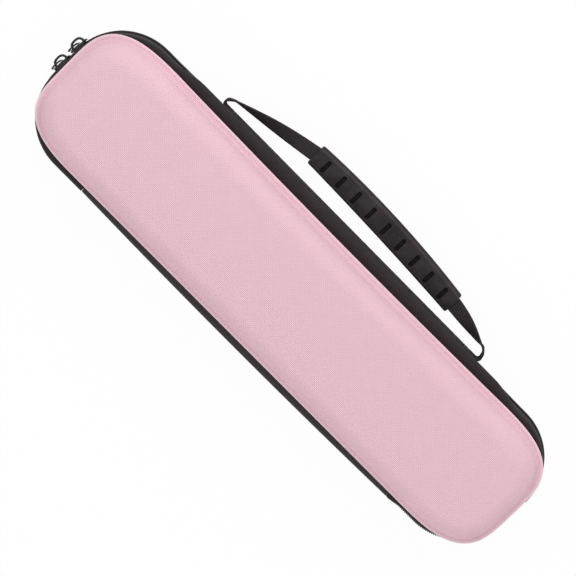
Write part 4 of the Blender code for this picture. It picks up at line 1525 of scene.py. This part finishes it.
@dataclass
class CarryHandle:
    """Webbing sewn along the gusset, its two twisted legs and the rubber grip."""

    plan: CasePlan
    strap_width: float = 0.0110
    strap_thickness: float = 0.0016
    strap_height: float = 0.0246
    anchor_x: float = 0.1214
    fold_radius: float = 0.0026
    near_fold_shift: float = 0.0015
    near_fold_end: float = 65.0
    near_joint_setback: float = 0.0033
    near_joint_standoff: float = 0.0069
    far_fold_end: float = 10.0
    far_bend_radius: float = 0.0065
    far_bend_end: float = 78.0
    far_joint_setback: float = 0.0052
    far_joint_standoff: float = 0.0097
    joint_run: float = 0.0010
    sewn_sway: float = 0.00003
    seam: Stitching = Stitching(0.0032, 0.0024, 0.00022, -0.00018)
    seam_inset: float = 0.0022
    seam_setback: float = 0.0052
    tack: Stitching = Stitching(0.0027, 0.0026, 0.00026)
    tack_rows: int = 9
    tack_pitch: float = 0.00062
    tack_setback: float = 0.0062
    tack_reach_share: float = 0.38
    leg_belly: float = 0.0006
    twist_power: float = 1.2
    twist_lead: float = 0.0045
    blend_before: float = 0.0032
    blend_after: float = 0.0080
    near_blend_slant: float = 0.80
    far_blend_slant: float = 0.52
    gusset_face: float = 0.00165
    grip_length: float = 0.1387
    grip_offset: float = 0.0149
    grip_end_width: float = 0.0163
    grip_middle_width: float = 0.0186
    grip_thickness: float = 0.0088
    grip_near_standoff: float = 0.0204
    grip_far_standoff: float = 0.0157
    grip_crown: float = 0.0020
    grip_corner: float = 0.0040
    grip_end_round: float = 0.0012
    grip_lip: float = 0.00008
    grip_lip_inset: float = 0.0030
    grip_lip_half: float = 0.0007
    grip_edge_highlight: tuple[float, float] = (0.0042, 0.0004)
    grip_face_crown: float = 0.0018
    grip_face_depth: float = 0.0020
    groove_count: int = 9
    groove_pitch: float = 0.0146
    groove_width: float = 0.0027
    groove_length: float = 0.0102
    groove_depth: float = 0.0026
    groove_shift: float = 0.0012
    groove_edge: tuple[float, float] = (-0.00030, 0.00022)
    groove_stops: tuple[float, ...] = (0.0, 0.35, 0.7, 0.9, 1.05, 1.25, 1.8, 3.0, 4.6)

    @property
    def strap_line(self) -> float:
        """Distance of the sewn webbing's middle from the case's middle."""
        return self.plan.zip_half.y + self.gusset_face + self.plan.gap + self.strap_thickness / 2

    def joint(self, x_sign: int) -> Vector:
        """Where the handle's axis meets one leg.

        Args:
            x_sign: 1 for the near leg and -1 for the far one.

        Returns:
            The point.
        """
        setback = self.near_joint_setback if x_sign > 0 else self.far_joint_setback
        standoff = self.near_joint_standoff if x_sign > 0 else self.far_joint_standoff
        return Vector((x_sign * (self.anchor_x - setback), -self.strap_line - standoff,
                       self.strap_height))

    @property
    def section(self) -> Section:
        """Section of the webbing."""
        return flat_section(self.strap_width, self.strap_thickness)

    def grip_centre(self, share: float) -> Vector:
        """Centre line of the grip.

        Args:
            share: Place along it, from its near end at 0 to its far end at 1.

        Returns:
            The point.
        """
        x = -self.grip_offset + self.grip_length * (0.5 - share)
        standoff = self.grip_near_standoff + (self.grip_far_standoff - self.grip_near_standoff) * share
        crown = self.grip_crown * 4 * share * (1 - share)
        return Vector((x, -(self.strap_line + standoff + crown), self.strap_height))

    def fold_x(self, x_sign: int) -> float:
        """Distance of one fold's centre from the case's middle."""
        return self.anchor_x - (self.near_fold_shift if x_sign > 0 else 0.0)

    def fold_path(self, x_sign: int) -> list[Place]:
        """Route of the webbing from the gusset round its fold to the handle's axis.

        Args:
            x_sign: 1 at the near anchor and -1 at the far one.

        Returns:
            Places with the webbing's width direction.
        """
        joint = self.joint(x_sign)
        radius = self.fold_radius
        turns = [(self.fold_x(x_sign), self.strap_line + radius, radius, -90.0,
                  self.near_fold_end if x_sign > 0 else self.far_fold_end)]
        if x_sign < 0:
            bend = self.far_bend_radius
            turns.append((abs(joint.x) + self.joint_run, -joint.y - bend, bend,
                          self.far_fold_end, self.far_bend_end))
        points = [(self.fold_x(x_sign) - 2 * radius, self.strap_line)]
        for x, y, reach, start, end in turns:
            for step in range(13):
                turn = radians(start + (end - start) * step / 12)
                points.append((x + reach * cos(turn), y + reach * sin(turn)))
        return [(Vector((x_sign * x, -y, self.strap_height)), UP) for x, y in points]

    def leg_path(self, x_sign: int, grip_end: Vector) -> list[Place]:
        """Route of one leg from its fold, on edge at first and flat at the grip.

        Args:
            x_sign: 1 for the near leg and -1 for the far one.
            grip_end: Where the leg goes into the grip.

        Returns:
            Places with the webbing's width direction.
        """
        start = self.joint(x_sign)
        path = self.fold_path(x_sign)
        for step in range(33):
            share = step / 32
            belly = Vector((0, self.leg_belly * sin(pi * share), 0))
            path.append((start.lerp(grip_end, share) - belly, UP))
        route = Route(soften(path, 3))
        upright = min(range(len(route.places)),
                      key=lambda index: (route.places[index][0] - start).length)
        twist_from = route.runs[upright] - self.twist_lead
        twisted = []
        for (place, _), run in zip(route.places, route.runs):
            share = min(max((run - twist_from) / (route.length - twist_from), 0.0), 1.0)
            turn = pi / 2 * (1 - share) ** self.twist_power
            along = route.at(run)[2]
            twisted.append((place, UP.cross(along) * (x_sign * cos(turn)) + UP * sin(turn)))
        return twisted

    def make_base_webbing(self) -> Item:
        """Makes the lower leg of the webbing, which is sewn along the gusset.

        Returns:
            The webbing.
        """
        near, far = (Vector((way * (self.fold_x(way) - 2 * self.fold_radius),
                             -self.strap_line, self.strap_height)) for way in (1, -1))
        path = [(near.lerp(far, step / 150), UP) for step in range(151)]
        item = build("sewn_webbing", [ribbon(path, self.section, self.sewn_sway)], 60.0)
        return WEBBING.dress(item, Body.BASE, "handle_base_strap")

    def make_webbing_seams(self) -> Item:
        """Sews the webbing down along both edges, with a bar tack at each anchor.

        Returns:
            The stitches.
        """
        face = self.strap_line + self.strap_thickness / 2
        end = self.anchor_x - self.seam_setback
        patches = []
        for side in (-1, 1):
            z = self.strap_height + side * (self.strap_width / 2 - self.seam_inset)
            ends = [(Vector((end * way, -face, z)), OUTWARD) for way in (1, -1)]
            patches += self.seam.sew(Route(ends))
        reach = self.strap_width * self.tack_reach_share
        for x_sign in (-1, 1):
            for step in range(self.tack_rows):
                x = x_sign * (end - self.tack_setback + self.tack_pitch * step)
                ends = [(Vector((x, -face, self.strap_height + way * reach)), OUTWARD)
                        for way in (-1, 1)]
                patches += self.tack.sew(Route(ends))
        return BLACK_THREAD.dress(build("webbing_seams", patches), Body.BASE)

    def make_leg(self, x_sign: int) -> Item:
        """Makes one leg of the webbing, from its fold into the grip.

        Args:
            x_sign: 1 for the near leg and -1 for the far one.

        Returns:
            The leg.
        """
        near = x_sign > 0
        path = self.leg_path(x_sign, self.grip_centre(0.0 if near else 1.0))
        shares = [step / 24 for step in range(1, 25)] if near else [0.97, 0.94]
        path += [(self.grip_centre(share), OUTWARD) for share in shares]
        item = build("near_leg" if near else "far_leg", [ribbon(path, self.section)], 60.0)
        WEBBING.coat_only(item, "handle_strap")
        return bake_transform(item)

    def groove_depth_at(self, along: float, across: float) -> float:
        """Depth of the cross grooves at a place on the grip's face.

        Args:
            along: Place along the grip from its middle.
            across: Place across the grip from its centre line.

        Returns:
            The depth.
        """
        reach = (self.groove_count - 1) / 2
        number = min(max(round(along / self.groove_pitch), -reach), reach)
        from_middle = along - number * self.groove_pitch
        over = max(abs(across - self.groove_shift) - (self.groove_length - self.groove_width) / 2, 0.0)
        distance = Vector((from_middle, over)).length - self.groove_width / 2
        return self.groove_depth * (1 - ease(*self.groove_edge, distance))

    def grip_stops(self) -> list[float]:
        """Places along the grip at which its rings lie, close together at each groove.

        Returns:
            Distances from the grip's middle.
        """
        half = self.grip_length / 2
        stops = {way * (half - inset) for way in (-1, 1)
                 for inset in (0.0, 0.0002, 0.0006, self.grip_end_round)}
        edge = self.groove_width / 2
        for index in range(self.groove_count):
            middle = (index - (self.groove_count - 1) / 2) * self.groove_pitch
            for offset in self.groove_stops:
                stops |= {round(middle + way * edge * offset, 6) for way in (-1, 1)}
        return sorted(stops)

    def make_grip(self) -> Item:
        """Makes the rubber sleeve with its cross grooves on both faces.

        Returns:
            The grip.
        """
        half, bend = self.grip_length / 2, self.grip_end_round
        rows, runs, edges = [], [], []
        for along in self.grip_stops():
            share = 0.5 + along / self.grip_length
            swell = (self.grip_middle_width - self.grip_end_width) * 4 * share * (1 - share)
            end = bend - min(half - abs(along), bend)
            shrink = bend - (bend ** 2 - end ** 2) ** 0.5
            wide = (self.grip_end_width + swell) / 2 - shrink
            high = self.grip_thickness / 2 - shrink
            corner = self.grip_corner - shrink * 0.5
            centre = self.grip_centre(share)
            places = []
            for y_sign, z_sign, turn in corner_turns(8):
                y = wide - corner + corner * cos(turn)
                drop = self.grip_face_crown * (y / wide) ** 2 * sin(turn)
                places.append((y_sign * y, z_sign * (high - corner + corner * sin(turn) - drop)))
                if y_sign == z_sign and turn == pi / 2:
                    for step in range(1, 26):
                        y = (wide - corner) * (1 - 2 * step / 26)
                        drop = self.grip_face_crown * (y / wide) ** 2
                        places.append((z_sign * y, z_sign * (high - drop)))
            row, edge = [], []
            for y, z in places:
                from_lip = abs(abs(y) - (wide - self.grip_lip_inset))
                lip = self.grip_lip * (1 - ease(0.0, self.grip_lip_half, from_lip))
                face = abs(z) > high - self.grip_face_depth
                cut = self.groove_depth_at(along, y) if face else 0.0
                shift = (lip - cut) if face else 0.0
                row.append(centre + Vector((0, y, z + (shift if z > 0 else -shift))))
                # Painted highlight along the face's long edges, stronger on the inner edge, and painted
                # shade in the grooves, both carried by the edge mark.
                bloom_and_highlight = ease(wide - self.grip_edge_highlight[0], wide - self.grip_edge_highlight[1], abs(y))
                bloom_and_highlight **= 1.0 if y > 0 else 1.5
                edge.append(bloom_and_highlight - cut / self.groove_depth if face else 0.0)
            rows.append(row)
            edges.append(edge)
            runs.append([(along, span) for span in runs_along(row + row[:1])])
        item = build("rubber_grip", [Patch(rows, runs, ring=True, capped=True, edge=edges)], 70.0)
        return GRIP_RUBBER.dress(item, Body.HANDLE, "handle_grip")

    def make(self) -> list[Item]:
        """Makes the handle's pieces."""
        return [self.make_base_webbing(), self.make_webbing_seams(), self.make_leg(1),
                self.make_leg(-1), self.make_grip()]


# Sliders and pulls

@dataclass
class ZipSlider:
    """One cast slider with its crown and its wire pull, at the middle of the short end."""

    plan: CasePlan
    side: str
    body: Body
    pull_body: Body
    nose: int
    y: float
    length: float = 0.0140
    width: float = 0.0080
    plate: float = 0.0012
    chain: float = 0.0020
    clearance: float = 0.0003
    curve_room: float = 0.0010
    edge_round: float = 0.0018
    nose_narrowing: float = 0.10
    nose_run: tuple[float, float] = (-0.002, 0.007)
    post_thickness: float = 0.00028
    post_length: float = 0.0030
    rail_from: float = 0.00325
    rail_to_share: float = 0.96
    rail_setback: float = 0.0022
    rail_drop: float = 0.0007
    rail_sink: float = 0.0005
    rail_round: float = 0.0003
    crown_length: float = 0.0106
    crown_height: float = 0.0064
    crown_bar: float = 0.0013
    crown_square: float = 2.7
    crown_sink: float = 0.0013
    crown_thick: float = 0.0017
    crown_width: float = 0.0026
    crown_foot_share: float = 0.35
    crown_edge_power: float = 0.7
    pull_length: float = 0.0150
    pull_width: float = 0.0092
    pull_wire: float = 0.0012
    pull_lean: float = -0.07
    hook_degrees: float = 22.0

    @property
    def turn(self) -> float:
        """Turn of the slider where the zip line starts to bend."""
        corner = self.plan.zip_corner
        return asin(min(self.y + corner.y, 0.0) / self.plan.zip_corner_radius)

    @property
    def place(self) -> Matrix:
        """Where the slider sits on the zip line.

        Returns:
            Its shift and its turn.
        """
        plan = self.plan
        x = plan.zip_corner.x + plan.zip_corner_radius * cos(self.turn)
        return Matrix.Translation((x, self.y, plan.zip_z)) @ Matrix.Rotation(self.turn, 4, "Z")

    def outline(self, inset: float, x: float) -> list[Vector]:
        """Outline of a plate, narrower at its nose.

        Args:
            inset: Distance inside the plate's edge.
            x: Level of the outline.

        Returns:
            Its points.
        """
        half_y = self.length / 2 - inset
        half_z = self.width / 2 - inset
        corner = max(self.edge_round - inset, 0.0003)
        points = []
        for y_sign, z_sign, turn in corner_turns(6):
            y = y_sign * (half_y - corner + corner * cos(turn))
            z = z_sign * (half_z - corner + corner * sin(turn))
            waist = 1 - self.nose_narrowing * ease(*self.nose_run, -y * self.nose)
            points.append(Vector((x, y, z * waist)))
        return points

    def plate_patch(self, low: float, high: float) -> Patch:
        """One plate between two levels, with rounded edges and a slightly domed face."""
        stops = ((0.0012, low), (0.0003, low), (0.0, low + 0.00025), (0.0, high - 0.0005),
                 (0.00012, high - 0.0002), (0.0004, high - 0.00005), (0.0012, high))
        return Patch([self.outline(inset, x) for inset, x in stops], ring=True, capped=True)

    def crown_patch(self) -> Patch:
        """The arched crown that the pull hangs on, with round edges and wide feet.

        Returns:
            Its surface.
        """
        base = self.chain / 2 + self.clearance + self.plate / 2
        half = (self.crown_length - self.crown_bar) / 2
        high = self.crown_height - self.crown_bar / 2 - self.crown_sink
        power = 2 / self.crown_square
        arch = []
        for step in range(33):
            rise, away = sin(pi * step / 32), cos(pi * step / 32)
            side = half * copysign(abs(away) ** power, away)
            arch.append(Vector((base + high * abs(rise) ** power, side, 0)))
        rows = []
        for index, centre in enumerate(arch):
            along = arch[min(index + 1, 32)] - arch[max(index - 1, 0)]
            out = Vector((-along.y, along.x, 0)).normalized()
            foot = 1 + self.crown_foot_share * (1 - ease(0.0, 0.35, (centre.x - base) / high))
            row = []
            for part in range(16):
                angle = 2 * pi * part / 16
                thick = self.crown_thick / 2 * foot
                wide = self.crown_width / 2 * foot
                bend_out = copysign(abs(cos(angle)) ** self.crown_edge_power, cos(angle))
                bend_up = copysign(abs(sin(angle)) ** self.crown_edge_power, sin(angle))
                row.append(centre + out * thick * bend_out + Vector((0, 0, wide * bend_up)))
            rows.append(row)
        return Patch(rows, ring=True, capped=True)

    def bar_patch(self, low: tuple[float, float, float], high: tuple[float, float, float],
                  corner: float) -> Patch:
        """A bar along Y with rounded edges.

        Args:
            low: Lowest corner.
            high: Highest corner.
            corner: Radius of its edges.

        Returns:
            Its surface.
        """
        middle = (Vector(low) + Vector(high)) / 2
        half = (Vector(high) - Vector(low)) / 2
        rows = []
        for y, inset in ((-half.y, corner), (-half.y + corner * 0.3, corner * 0.3),
                         (-half.y + corner, 0.0), (half.y - corner, 0.0),
                         (half.y - corner * 0.3, corner * 0.3), (half.y, corner)):
            row = []
            for x_sign, z_sign, turn in corner_turns(3):
                x = x_sign * (half.x - corner + (corner - inset) * cos(turn))
                z = z_sign * (half.z - corner + (corner - inset) * sin(turn))
                row.append(middle + Vector((x, y, z)))
            rows.append(row)
        return Patch(rows, ring=True, capped=True)

    def make_slider(self) -> Item:
        """Makes the slider: plates inside and outside the chain, rails, post and crown.

        Returns:
            The slider.
        """
        inner = -self.chain / 2 - self.curve_room
        outer = self.chain / 2 + self.clearance
        nose = self.nose * (self.length / 2 - self.edge_round)
        tail = nose - self.nose * self.post_length
        patches = [self.plate_patch(outer, outer + self.plate),
                   self.plate_patch(inner - self.plate, inner), self.crown_patch()]
        post = self.post_thickness / 2
        patches.append(self.bar_patch((inner - self.plate / 2, min(nose, tail), -post),
                                      (outer + self.plate / 2, max(nose, tail), post), post / 2))
        end = self.length / 2 - self.rail_setback
        for side in (-1, 1):
            low_z, high_z = sorted((side * self.rail_from, side * self.width / 2 * self.rail_to_share))
            patches.append(self.bar_patch((outer - self.rail_drop, -end, low_z),
                                          (outer + self.rail_sink, end, high_z), self.rail_round))
        for patch in patches:
            patch.rows = [[self.place @ point for point in row] for row in patch.rows]
        item = build(self.side + "_slider_casting", patches, 50.0)
        return SLIDER_LACQUER.dress(item, self.body, self.side + "_slider")

    def make_pull(self) -> Item:
        """Makes the wire pull, which hangs down round the crown's leg.

        Returns:
            The pull.
        """
        angle = radians(self.hook_degrees)
        base = self.chain / 2 + self.clearance + self.plate / 2
        lift = base + (self.crown_height - self.crown_bar / 2) * sin(angle)
        side = (self.crown_length - self.crown_bar) / 2 * cos(angle)
        drop = self.pull_length / 2 - self.pull_wire - self.crown_width / 2 - self.plan.gap
        half = (self.pull_width - self.pull_wire) / 2
        straight = (self.pull_length - self.pull_width) / 2
        lean = Matrix.Rotation(-self.pull_lean, 4, "Y")
        hang = self.place @ Matrix.Translation((lift, side, 0)) @ lean
        centres = []
        for step in range(56):
            turn = 2 * pi * (step + 0.5) / 56
            way = Vector((0, cos(turn), sin(turn)))
            shift = straight if sin(turn) > 0 else -straight
            middle = way * half + Vector((0, 0, shift - drop))
            centres.append((hang @ middle, hang.to_3x3() @ Vector((1, 0, 0))))
        loop = tube(centres, [self.pull_wire / 2] * len(centres), 12, loop=True)
        item = build(self.side + "_wire_pull", [loop], 60.0)
        return SLIDER_LACQUER.dress(item, self.pull_body, self.side + "_pull")

    def make(self) -> list[Item]:
        """Makes the slider and its pull."""
        return [self.make_slider(), self.make_pull()]


# Inside

@dataclass
class Interior:
    """Foam tray, quilted ceiling pad and net pocket."""

    plan: CasePlan
    voxel: float = 0.0016
    tray_soften: int = 6
    pad_thickness: float = 0.0028
    pad_channel: float = 0.0400
    pad_cap: float = 0.0022
    pad_inset: float = 0.0006
    pad_sink: float = 0.0002
    pad_edge: float = 0.0004
    pad_channel_half: float = 0.0016
    pad_sewn_depth: float = 0.0009
    pad_fill: float = 0.45
    net_rise: float = 0.0025
    net_thickness: float = 0.0006
    net_inset: float = 0.0006
    net_wave: float = 0.034
    net_wave_height: float = 0.00035
    net_slack: float = 0.0006
    mouth_y: float = -0.0140
    hem_width: float = 0.0060
    hem_thickness: float = 0.0014
    hem_ruffle: float = 0.0052
    hem_ruffle_height: float = 0.00025
    hem_wave_height: float = 0.0003
    border_width: float = 0.0040
    border_thickness: float = 0.0012

    @property
    def lid_inset(self) -> float:
        """Inset of the lid's free inner wall."""
        plan = self.plan
        return plan.wall_line + plan.wall + plan.lining + 2 * plan.gap

    def half_length_at(self, y: float, inset: float) -> float:
        """Half length of the shell's outline at a place across the case.

        Args:
            y: Place across the case.
            inset: Inset of the outline.

        Returns:
            The half length.
        """
        plan = self.plan
        over = max(abs(y) - plan.half_width + plan.corner_width, 0.0) / (plan.corner_width - inset)
        bend = max(1 - over ** plan.corner_power, 0.0) ** (1 / plan.corner_power)
        return plan.half_length - plan.corner_length + (plan.corner_length - inset) * bend

    def make_tray(self) -> Item:
        """Makes the cut-out foam tray, with every edge softened by its pile.

        Returns:
            The tray.
        """
        solids = bmesh.new()
        for node in ("foam_tray", "foam_base"):
            solids.from_mesh(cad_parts[node].data)
        mesh = bpy.data.meshes.new("tray")
        solids.to_mesh(mesh)
        solids.free()
        item = link("tray", mesh)
        even = item.modifiers.new("even", "REMESH")
        even.mode = "VOXEL"
        even.voxel_size = self.voxel
        soft = item.modifiers.new("soft", "SMOOTH")
        soft.factor = 0.5
        soft.iterations = self.tray_soften
        settle(item)
        item.data.shade_smooth()
        return PILE.dress(item, Body.BASE, "foam_tray", "foam_base")

    def make_pad(self) -> Item:
        """Makes the quilted pad on the lid's ceiling and fills it by cloth simulation.

        Returns:
            The pad.
        """
        plan = self.plan
        inset = plan.wall_line + plan.shoulder_reach + self.pad_inset
        top = (plan.front_rim_z + plan.front_depth - plan.wall - plan.lining - 2 * plan.gap
               - self.pad_sink)
        straight = plan.half_length - plan.corner_length
        reach_x, reach_y = plan.corner_length - inset, plan.corner_width - inset
        half_x, half_y = plan.half_length - inset, plan.half_width - inset
        columns, lines = 128, 18
        sheets = []
        for face in range(2):
            rows = []
            for step in range(columns + 1):
                x = half_x * (1 - 2 * step / columns) * 0.9995
                over = max(abs(x) - straight, 0.0) / reach_x
                bend = (1 - over ** plan.corner_power) ** (1 / plan.corner_power)
                wide = half_y - reach_y + reach_y * bend
                row = []
                for line in range(lines + 1):
                    y = wide * (1 - 2 * line / lines)
                    edge = min(line, lines - line, step, columns - step)
                    drop = self.pad_edge if edge == 0 else self.pad_thickness
                    row.append(Vector((x, y, top - (0.0 if face == 0 else drop))))
                rows.append(row)
            sheets.append(rows)
        item = build("quilted_pad", [Patch(rows) for rows in sheets])
        made = bmesh.new()
        made.from_mesh(item.data)
        rim = [edge for edge in made.edges if edge.is_boundary]
        bmesh.ops.bridge_loops(made, edges=rim)
        bmesh.ops.recalc_face_normals(made, faces=made.faces)
        made.to_mesh(item.data)
        made.free()
        self.fill(item, top)
        smooth = item.modifiers.new("smooth", "SUBSURF")
        smooth.levels = smooth.render_levels = 1
        settle(item)
        item.data.shade_smooth()
        LINING_CLOTH.dress(item, Body.LID, "ceiling_pad")
        return item

    def fill(self, item: Item, top: float) -> None:
        """Swells the pad between its sewn channels.

        Args:
            item: The pad.
            top: Height of its face on the ceiling.
        """
        mesh = item.data
        sewn = item.vertex_groups.new(name="sewn")
        for vertex in mesh.vertices:
            point = vertex.co
            across = abs((point.x / self.pad_channel) % 1.0 - 0.5) * self.pad_channel
            channel = across < self.pad_channel_half
            if channel or point.z > top - self.pad_sewn_depth:
                sewn.add([vertex.index], 1.0, "REPLACE")
            if channel and point.z < top - self.pad_sewn_depth:
                vertex.co.z = top - self.pad_thickness * self.pad_fill
        before = [vertex.co.copy() for vertex in mesh.vertices]
        cloth = item.modifiers.new("filling", "CLOTH")
        cloth.settings.use_pressure = True
        cloth.settings.uniform_pressure_force = 4.0
        cloth.settings.vertex_group_mass = "sewn"
        cloth.settings.effector_weights.gravity = 0.0
        cloth.settings.tension_stiffness = 8.0
        cloth.settings.compression_stiffness = 8.0
        cloth.collision_settings.use_collision = False
        for number in range(1, 21):
            bpy.context.scene.frame_set(number)
        seen = item.evaluated_get(bpy.context.evaluated_depsgraph_get())
        swollen = [vertex.co.copy() for vertex in seen.data.vertices]
        item.modifiers.remove(cloth)
        bpy.context.scene.frame_set(1)
        for vertex, start, end in zip(mesh.vertices, before, swollen):
            move = end - start
            if move.length > self.pad_cap:
                move *= self.pad_cap / move.length
            vertex.co = start + move
            vertex.co.z = min(vertex.co.z, top)

    def make_net(self) -> list[Item]:
        """Makes the net pocket: net, elastic hem and sewn border.

        Returns:
            The net, the hem and the border.
        """
        plan = self.plan
        level = plan.front_rim_z + self.net_rise + self.net_thickness / 2
        far_y = plan.half_width - self.lid_inset
        rows, runs = [], []
        lines, columns = 30, 180
        for line in range(lines + 1):
            share = line / lines
            y = self.mouth_y + (far_y - self.net_inset - self.mouth_y) * share
            half = self.half_length_at(y, self.lid_inset)
            row = []
            for column in range(columns + 1):
                x = half * (1 - 2 * column / columns)
                slack = sin(pi * min(1.0, (1 - share) * 0.9 + 0.1))
                wave = self.net_wave_height * sin(2 * pi * x / self.net_wave) * (1 - share)
                z = level + (wave - self.net_slack * slack) * cos(pi * x / half / 2)
                row.append(Vector((x, y, z)))
            rows.append(row)
            runs.append([(p.x, p.y) for p in row])
        net = build("net", [Patch(rows, runs)])
        POCKET_NETTING.dress(net, Body.LID, "pocket_net")
        hem_y = self.mouth_y - plan.gap - self.hem_width / 2
        half = self.half_length_at(self.mouth_y - plan.gap - self.hem_width, self.lid_inset) - plan.gap
        path = []
        for step in range(201):
            x = half * (1 - 2 * step / 200)
            ruffle = (self.hem_ruffle_height * sin(2 * pi * x / self.hem_ruffle)
                      + self.hem_wave_height * sin(2 * pi * x / self.net_wave))
            path.append((Vector((x, hem_y, level + ruffle)), Vector((0, 1, 0))))
        hem = build("elastic_hem", [ribbon(path, flat_section(self.hem_width, self.hem_thickness))])
        BINDING_CLOTH.dress(hem, Body.LID, "pocket_hem")
        top = plan.front_rim_z + self.net_rise - plan.gap
        ring = plan.ring(self.lid_inset + self.border_width / 2, top - self.border_thickness / 2)
        ways = plan.outward(ring)
        kept = [(p, w) for p, w in zip(ring, ways) if p.y > self.mouth_y]
        last = max(range(len(kept)), key=lambda index: (kept[index][0] - kept[index - 1][0]).length)
        kept = kept[last:] + kept[:last]
        border = build("pocket_binding",
                       [ribbon(kept, flat_section(self.border_width, self.border_thickness))])
        BINDING_CLOTH.dress(border, Body.LID, "pocket_border")
        size = (2 * self.half_length_at(0.0, self.lid_inset), far_y - self.mouth_y)
        return [net, hem, border]

    def make(self) -> list[Item]:
        """Makes the pieces inside."""
        return [self.make_tray(), self.make_pad()] + self.make_net()


# Studio

@dataclass
class Studio:
    """Pale floor, soft light and the camera that looks down on the case."""

    tilt_to_handle: float = 12.0
    tilt_to_sliders: float = 4.5
    distance: float = 1.5
    turn: float = 45.125
    scale: float = 0.000678
    frame_pixels: int = 576
    aim: tuple[float, float] = (-2.42, 4.13)
    aim_height: float = 0.041
    floor_half: float = 4.0
    floor_height: float = -0.0004
    floor_white: float = 0.96
    background: float = 1.0
    world_level: float = 0.82
    lamp_aim: float = 0.03

    def make_floor(self) -> None:
        """Lays a pale floor that keeps the object's shadow."""
        half = self.floor_half
        count = 8
        rows = [[Vector((half * (2 * i / count - 1), half * (2 * j / count - 1), self.floor_height))
                 for i in range(count + 1)] for j in range(count + 1)]
        floor = build("floor", [Patch(rows)])
        tree = ShaderTree("pale_floor")
        tree.coat({"Base Color": (0.86, 0.86, 0.86, 1.0), "Roughness": 0.9, "Specular IOR Level": 0.1})
        seen = tree.node("ShaderNodeLightPath", {}, {}, "Is Camera Ray")
        glossy = Wire(tree, seen.socket.node.outputs["Is Glossy Ray"])
        through = Wire(tree, seen.socket.node.outputs["Is Transmission Ray"])
        share = self.floor_white * (seen + glossy + through).least(1.0)
        white = tree.node("ShaderNodeEmission", {}, {"Color": (1, 1, 1, 1), "Strength": 1.0})
        mixed = tree.node("ShaderNodeMixShader", {}, {0: share, 1: Wire(tree, tree.shader.outputs[0]),
                                                      2: white})
        output = next(node for node in tree.nodes if node.type == "OUTPUT_MATERIAL")
        tree.feed(output.inputs["Surface"], mixed)
        floor.data.materials.append(tree.material)

    def make_world(self) -> None:
        """Fills the room with even light, white where the camera sees it."""
        world = bpy.data.worlds.new("studio")
        world.use_nodes = True
        nodes, links = world.node_tree.nodes, world.node_tree.links
        nodes.clear()
        path = nodes.new("ShaderNodeLightPath")
        mixed = nodes.new("ShaderNodeMixShader")
        output = nodes.new("ShaderNodeOutputWorld")
        links.new(path.outputs["Is Camera Ray"], mixed.inputs[0])
        for socket, level in zip(mixed.inputs[1:], (self.world_level, self.background)):
            light = nodes.new("ShaderNodeBackground")
            light.inputs["Color"].default_value = (1, 1, 1, 1)
            light.inputs["Strength"].default_value = level
            links.new(light.outputs[0], socket)
        links.new(mixed.outputs[0], output.inputs["Surface"])
        bpy.context.scene.world = world

    def make_lamp(self, name: str, place: tuple[float, float, float], size: float,
                  power: float) -> None:
        """Hangs one soft lamp that shines on the case's middle.

        Args:
            name: The lamp's name.
            place: Where it hangs.
            size: Side of its square.
            power: Its power in watts.
        """
        light = bpy.data.lights.new(name, "AREA")
        light.shape = "SQUARE"
        light.size = size
        light.energy = power
        lamp = link(name, light)
        lamp.location = place
        aim = Vector((0, 0, self.lamp_aim)) - Vector(place)
        lamp.rotation_euler = aim.to_track_quat("-Z", "Y").to_euler()

    def make_camera(self) -> None:
        """Places the camera, tilted towards the handle and the sliders."""
        turn = radians(self.turn)
        up = Vector((sin(turn), -cos(turn), 0))
        back = Vector((sin(radians(self.tilt_to_sliders)), -sin(radians(self.tilt_to_handle)), 0))
        back.z = (1 - back.length_squared) ** 0.5
        axis_x = up.cross(back).normalized()
        axis_y = back.cross(axis_x)
        aim = (Vector((0, 0, self.aim_height)) + axis_x * self.aim[0] * self.scale
               + axis_y * self.aim[1] * self.scale)
        data = bpy.data.cameras.new("camera")
        data.sensor_width = 36.0
        half = self.frame_pixels * self.scale / 2
        data.angle = 2 * atan(half / self.distance)
        data.clip_start, data.clip_end = 0.05, 20.0
        camera = link("camera", data)
        turned = Matrix((axis_x, axis_y, back)).transposed().to_4x4()
        camera.matrix_world = Matrix.Translation(aim + back * self.distance) @ turned
        bpy.context.scene.camera = camera

    def make(self) -> None:
        """Makes the studio."""
        self.make_floor()
        self.make_world()
        self.make_lamp("key", (0.50, -1.30, 0.95), 0.8, 9.0)
        self.make_lamp("top", (0.30, 0.10, 1.60), 1.2, 2.0)
        self.make_lamp("hinge_side", (-0.30, 1.30, 0.80), 0.8, 1.0)
        self.make_camera()
        bpy.context.scene.view_settings.view_transform = "Standard"


def main() -> None:
    """Makes the studio and the flute bag, piece by piece."""
    logging.basicConfig(level=logging.INFO, format="%(name)s: %(message)s")
    plan = CasePlan()
    Studio().make()
    assemblies = (
        ShellHalf(plan, Half.BACK),
        ShellHalf(plan, Half.FRONT, crown=0.0006),
        ZipBand(plan),
        HingeBand(plan),
        CarryHandle(plan),
        ZipSlider(plan, "handle_side", Body.HANDLE_SIDE_SLIDER, Body.HANDLE_SIDE_PULL, 1, -0.0148),
        ZipSlider(plan, "hinge_side", Body.HINGE_SIDE_SLIDER, Body.HINGE_SIDE_PULL, -1, 0.0016),
        Interior(plan),
    )
    for assembly in assemblies:
        pieces = assembly.make()
        LOG.info("%s: %d pieces", type(assembly).__name__, len(pieces))


if __name__ == "__main__":
    main()
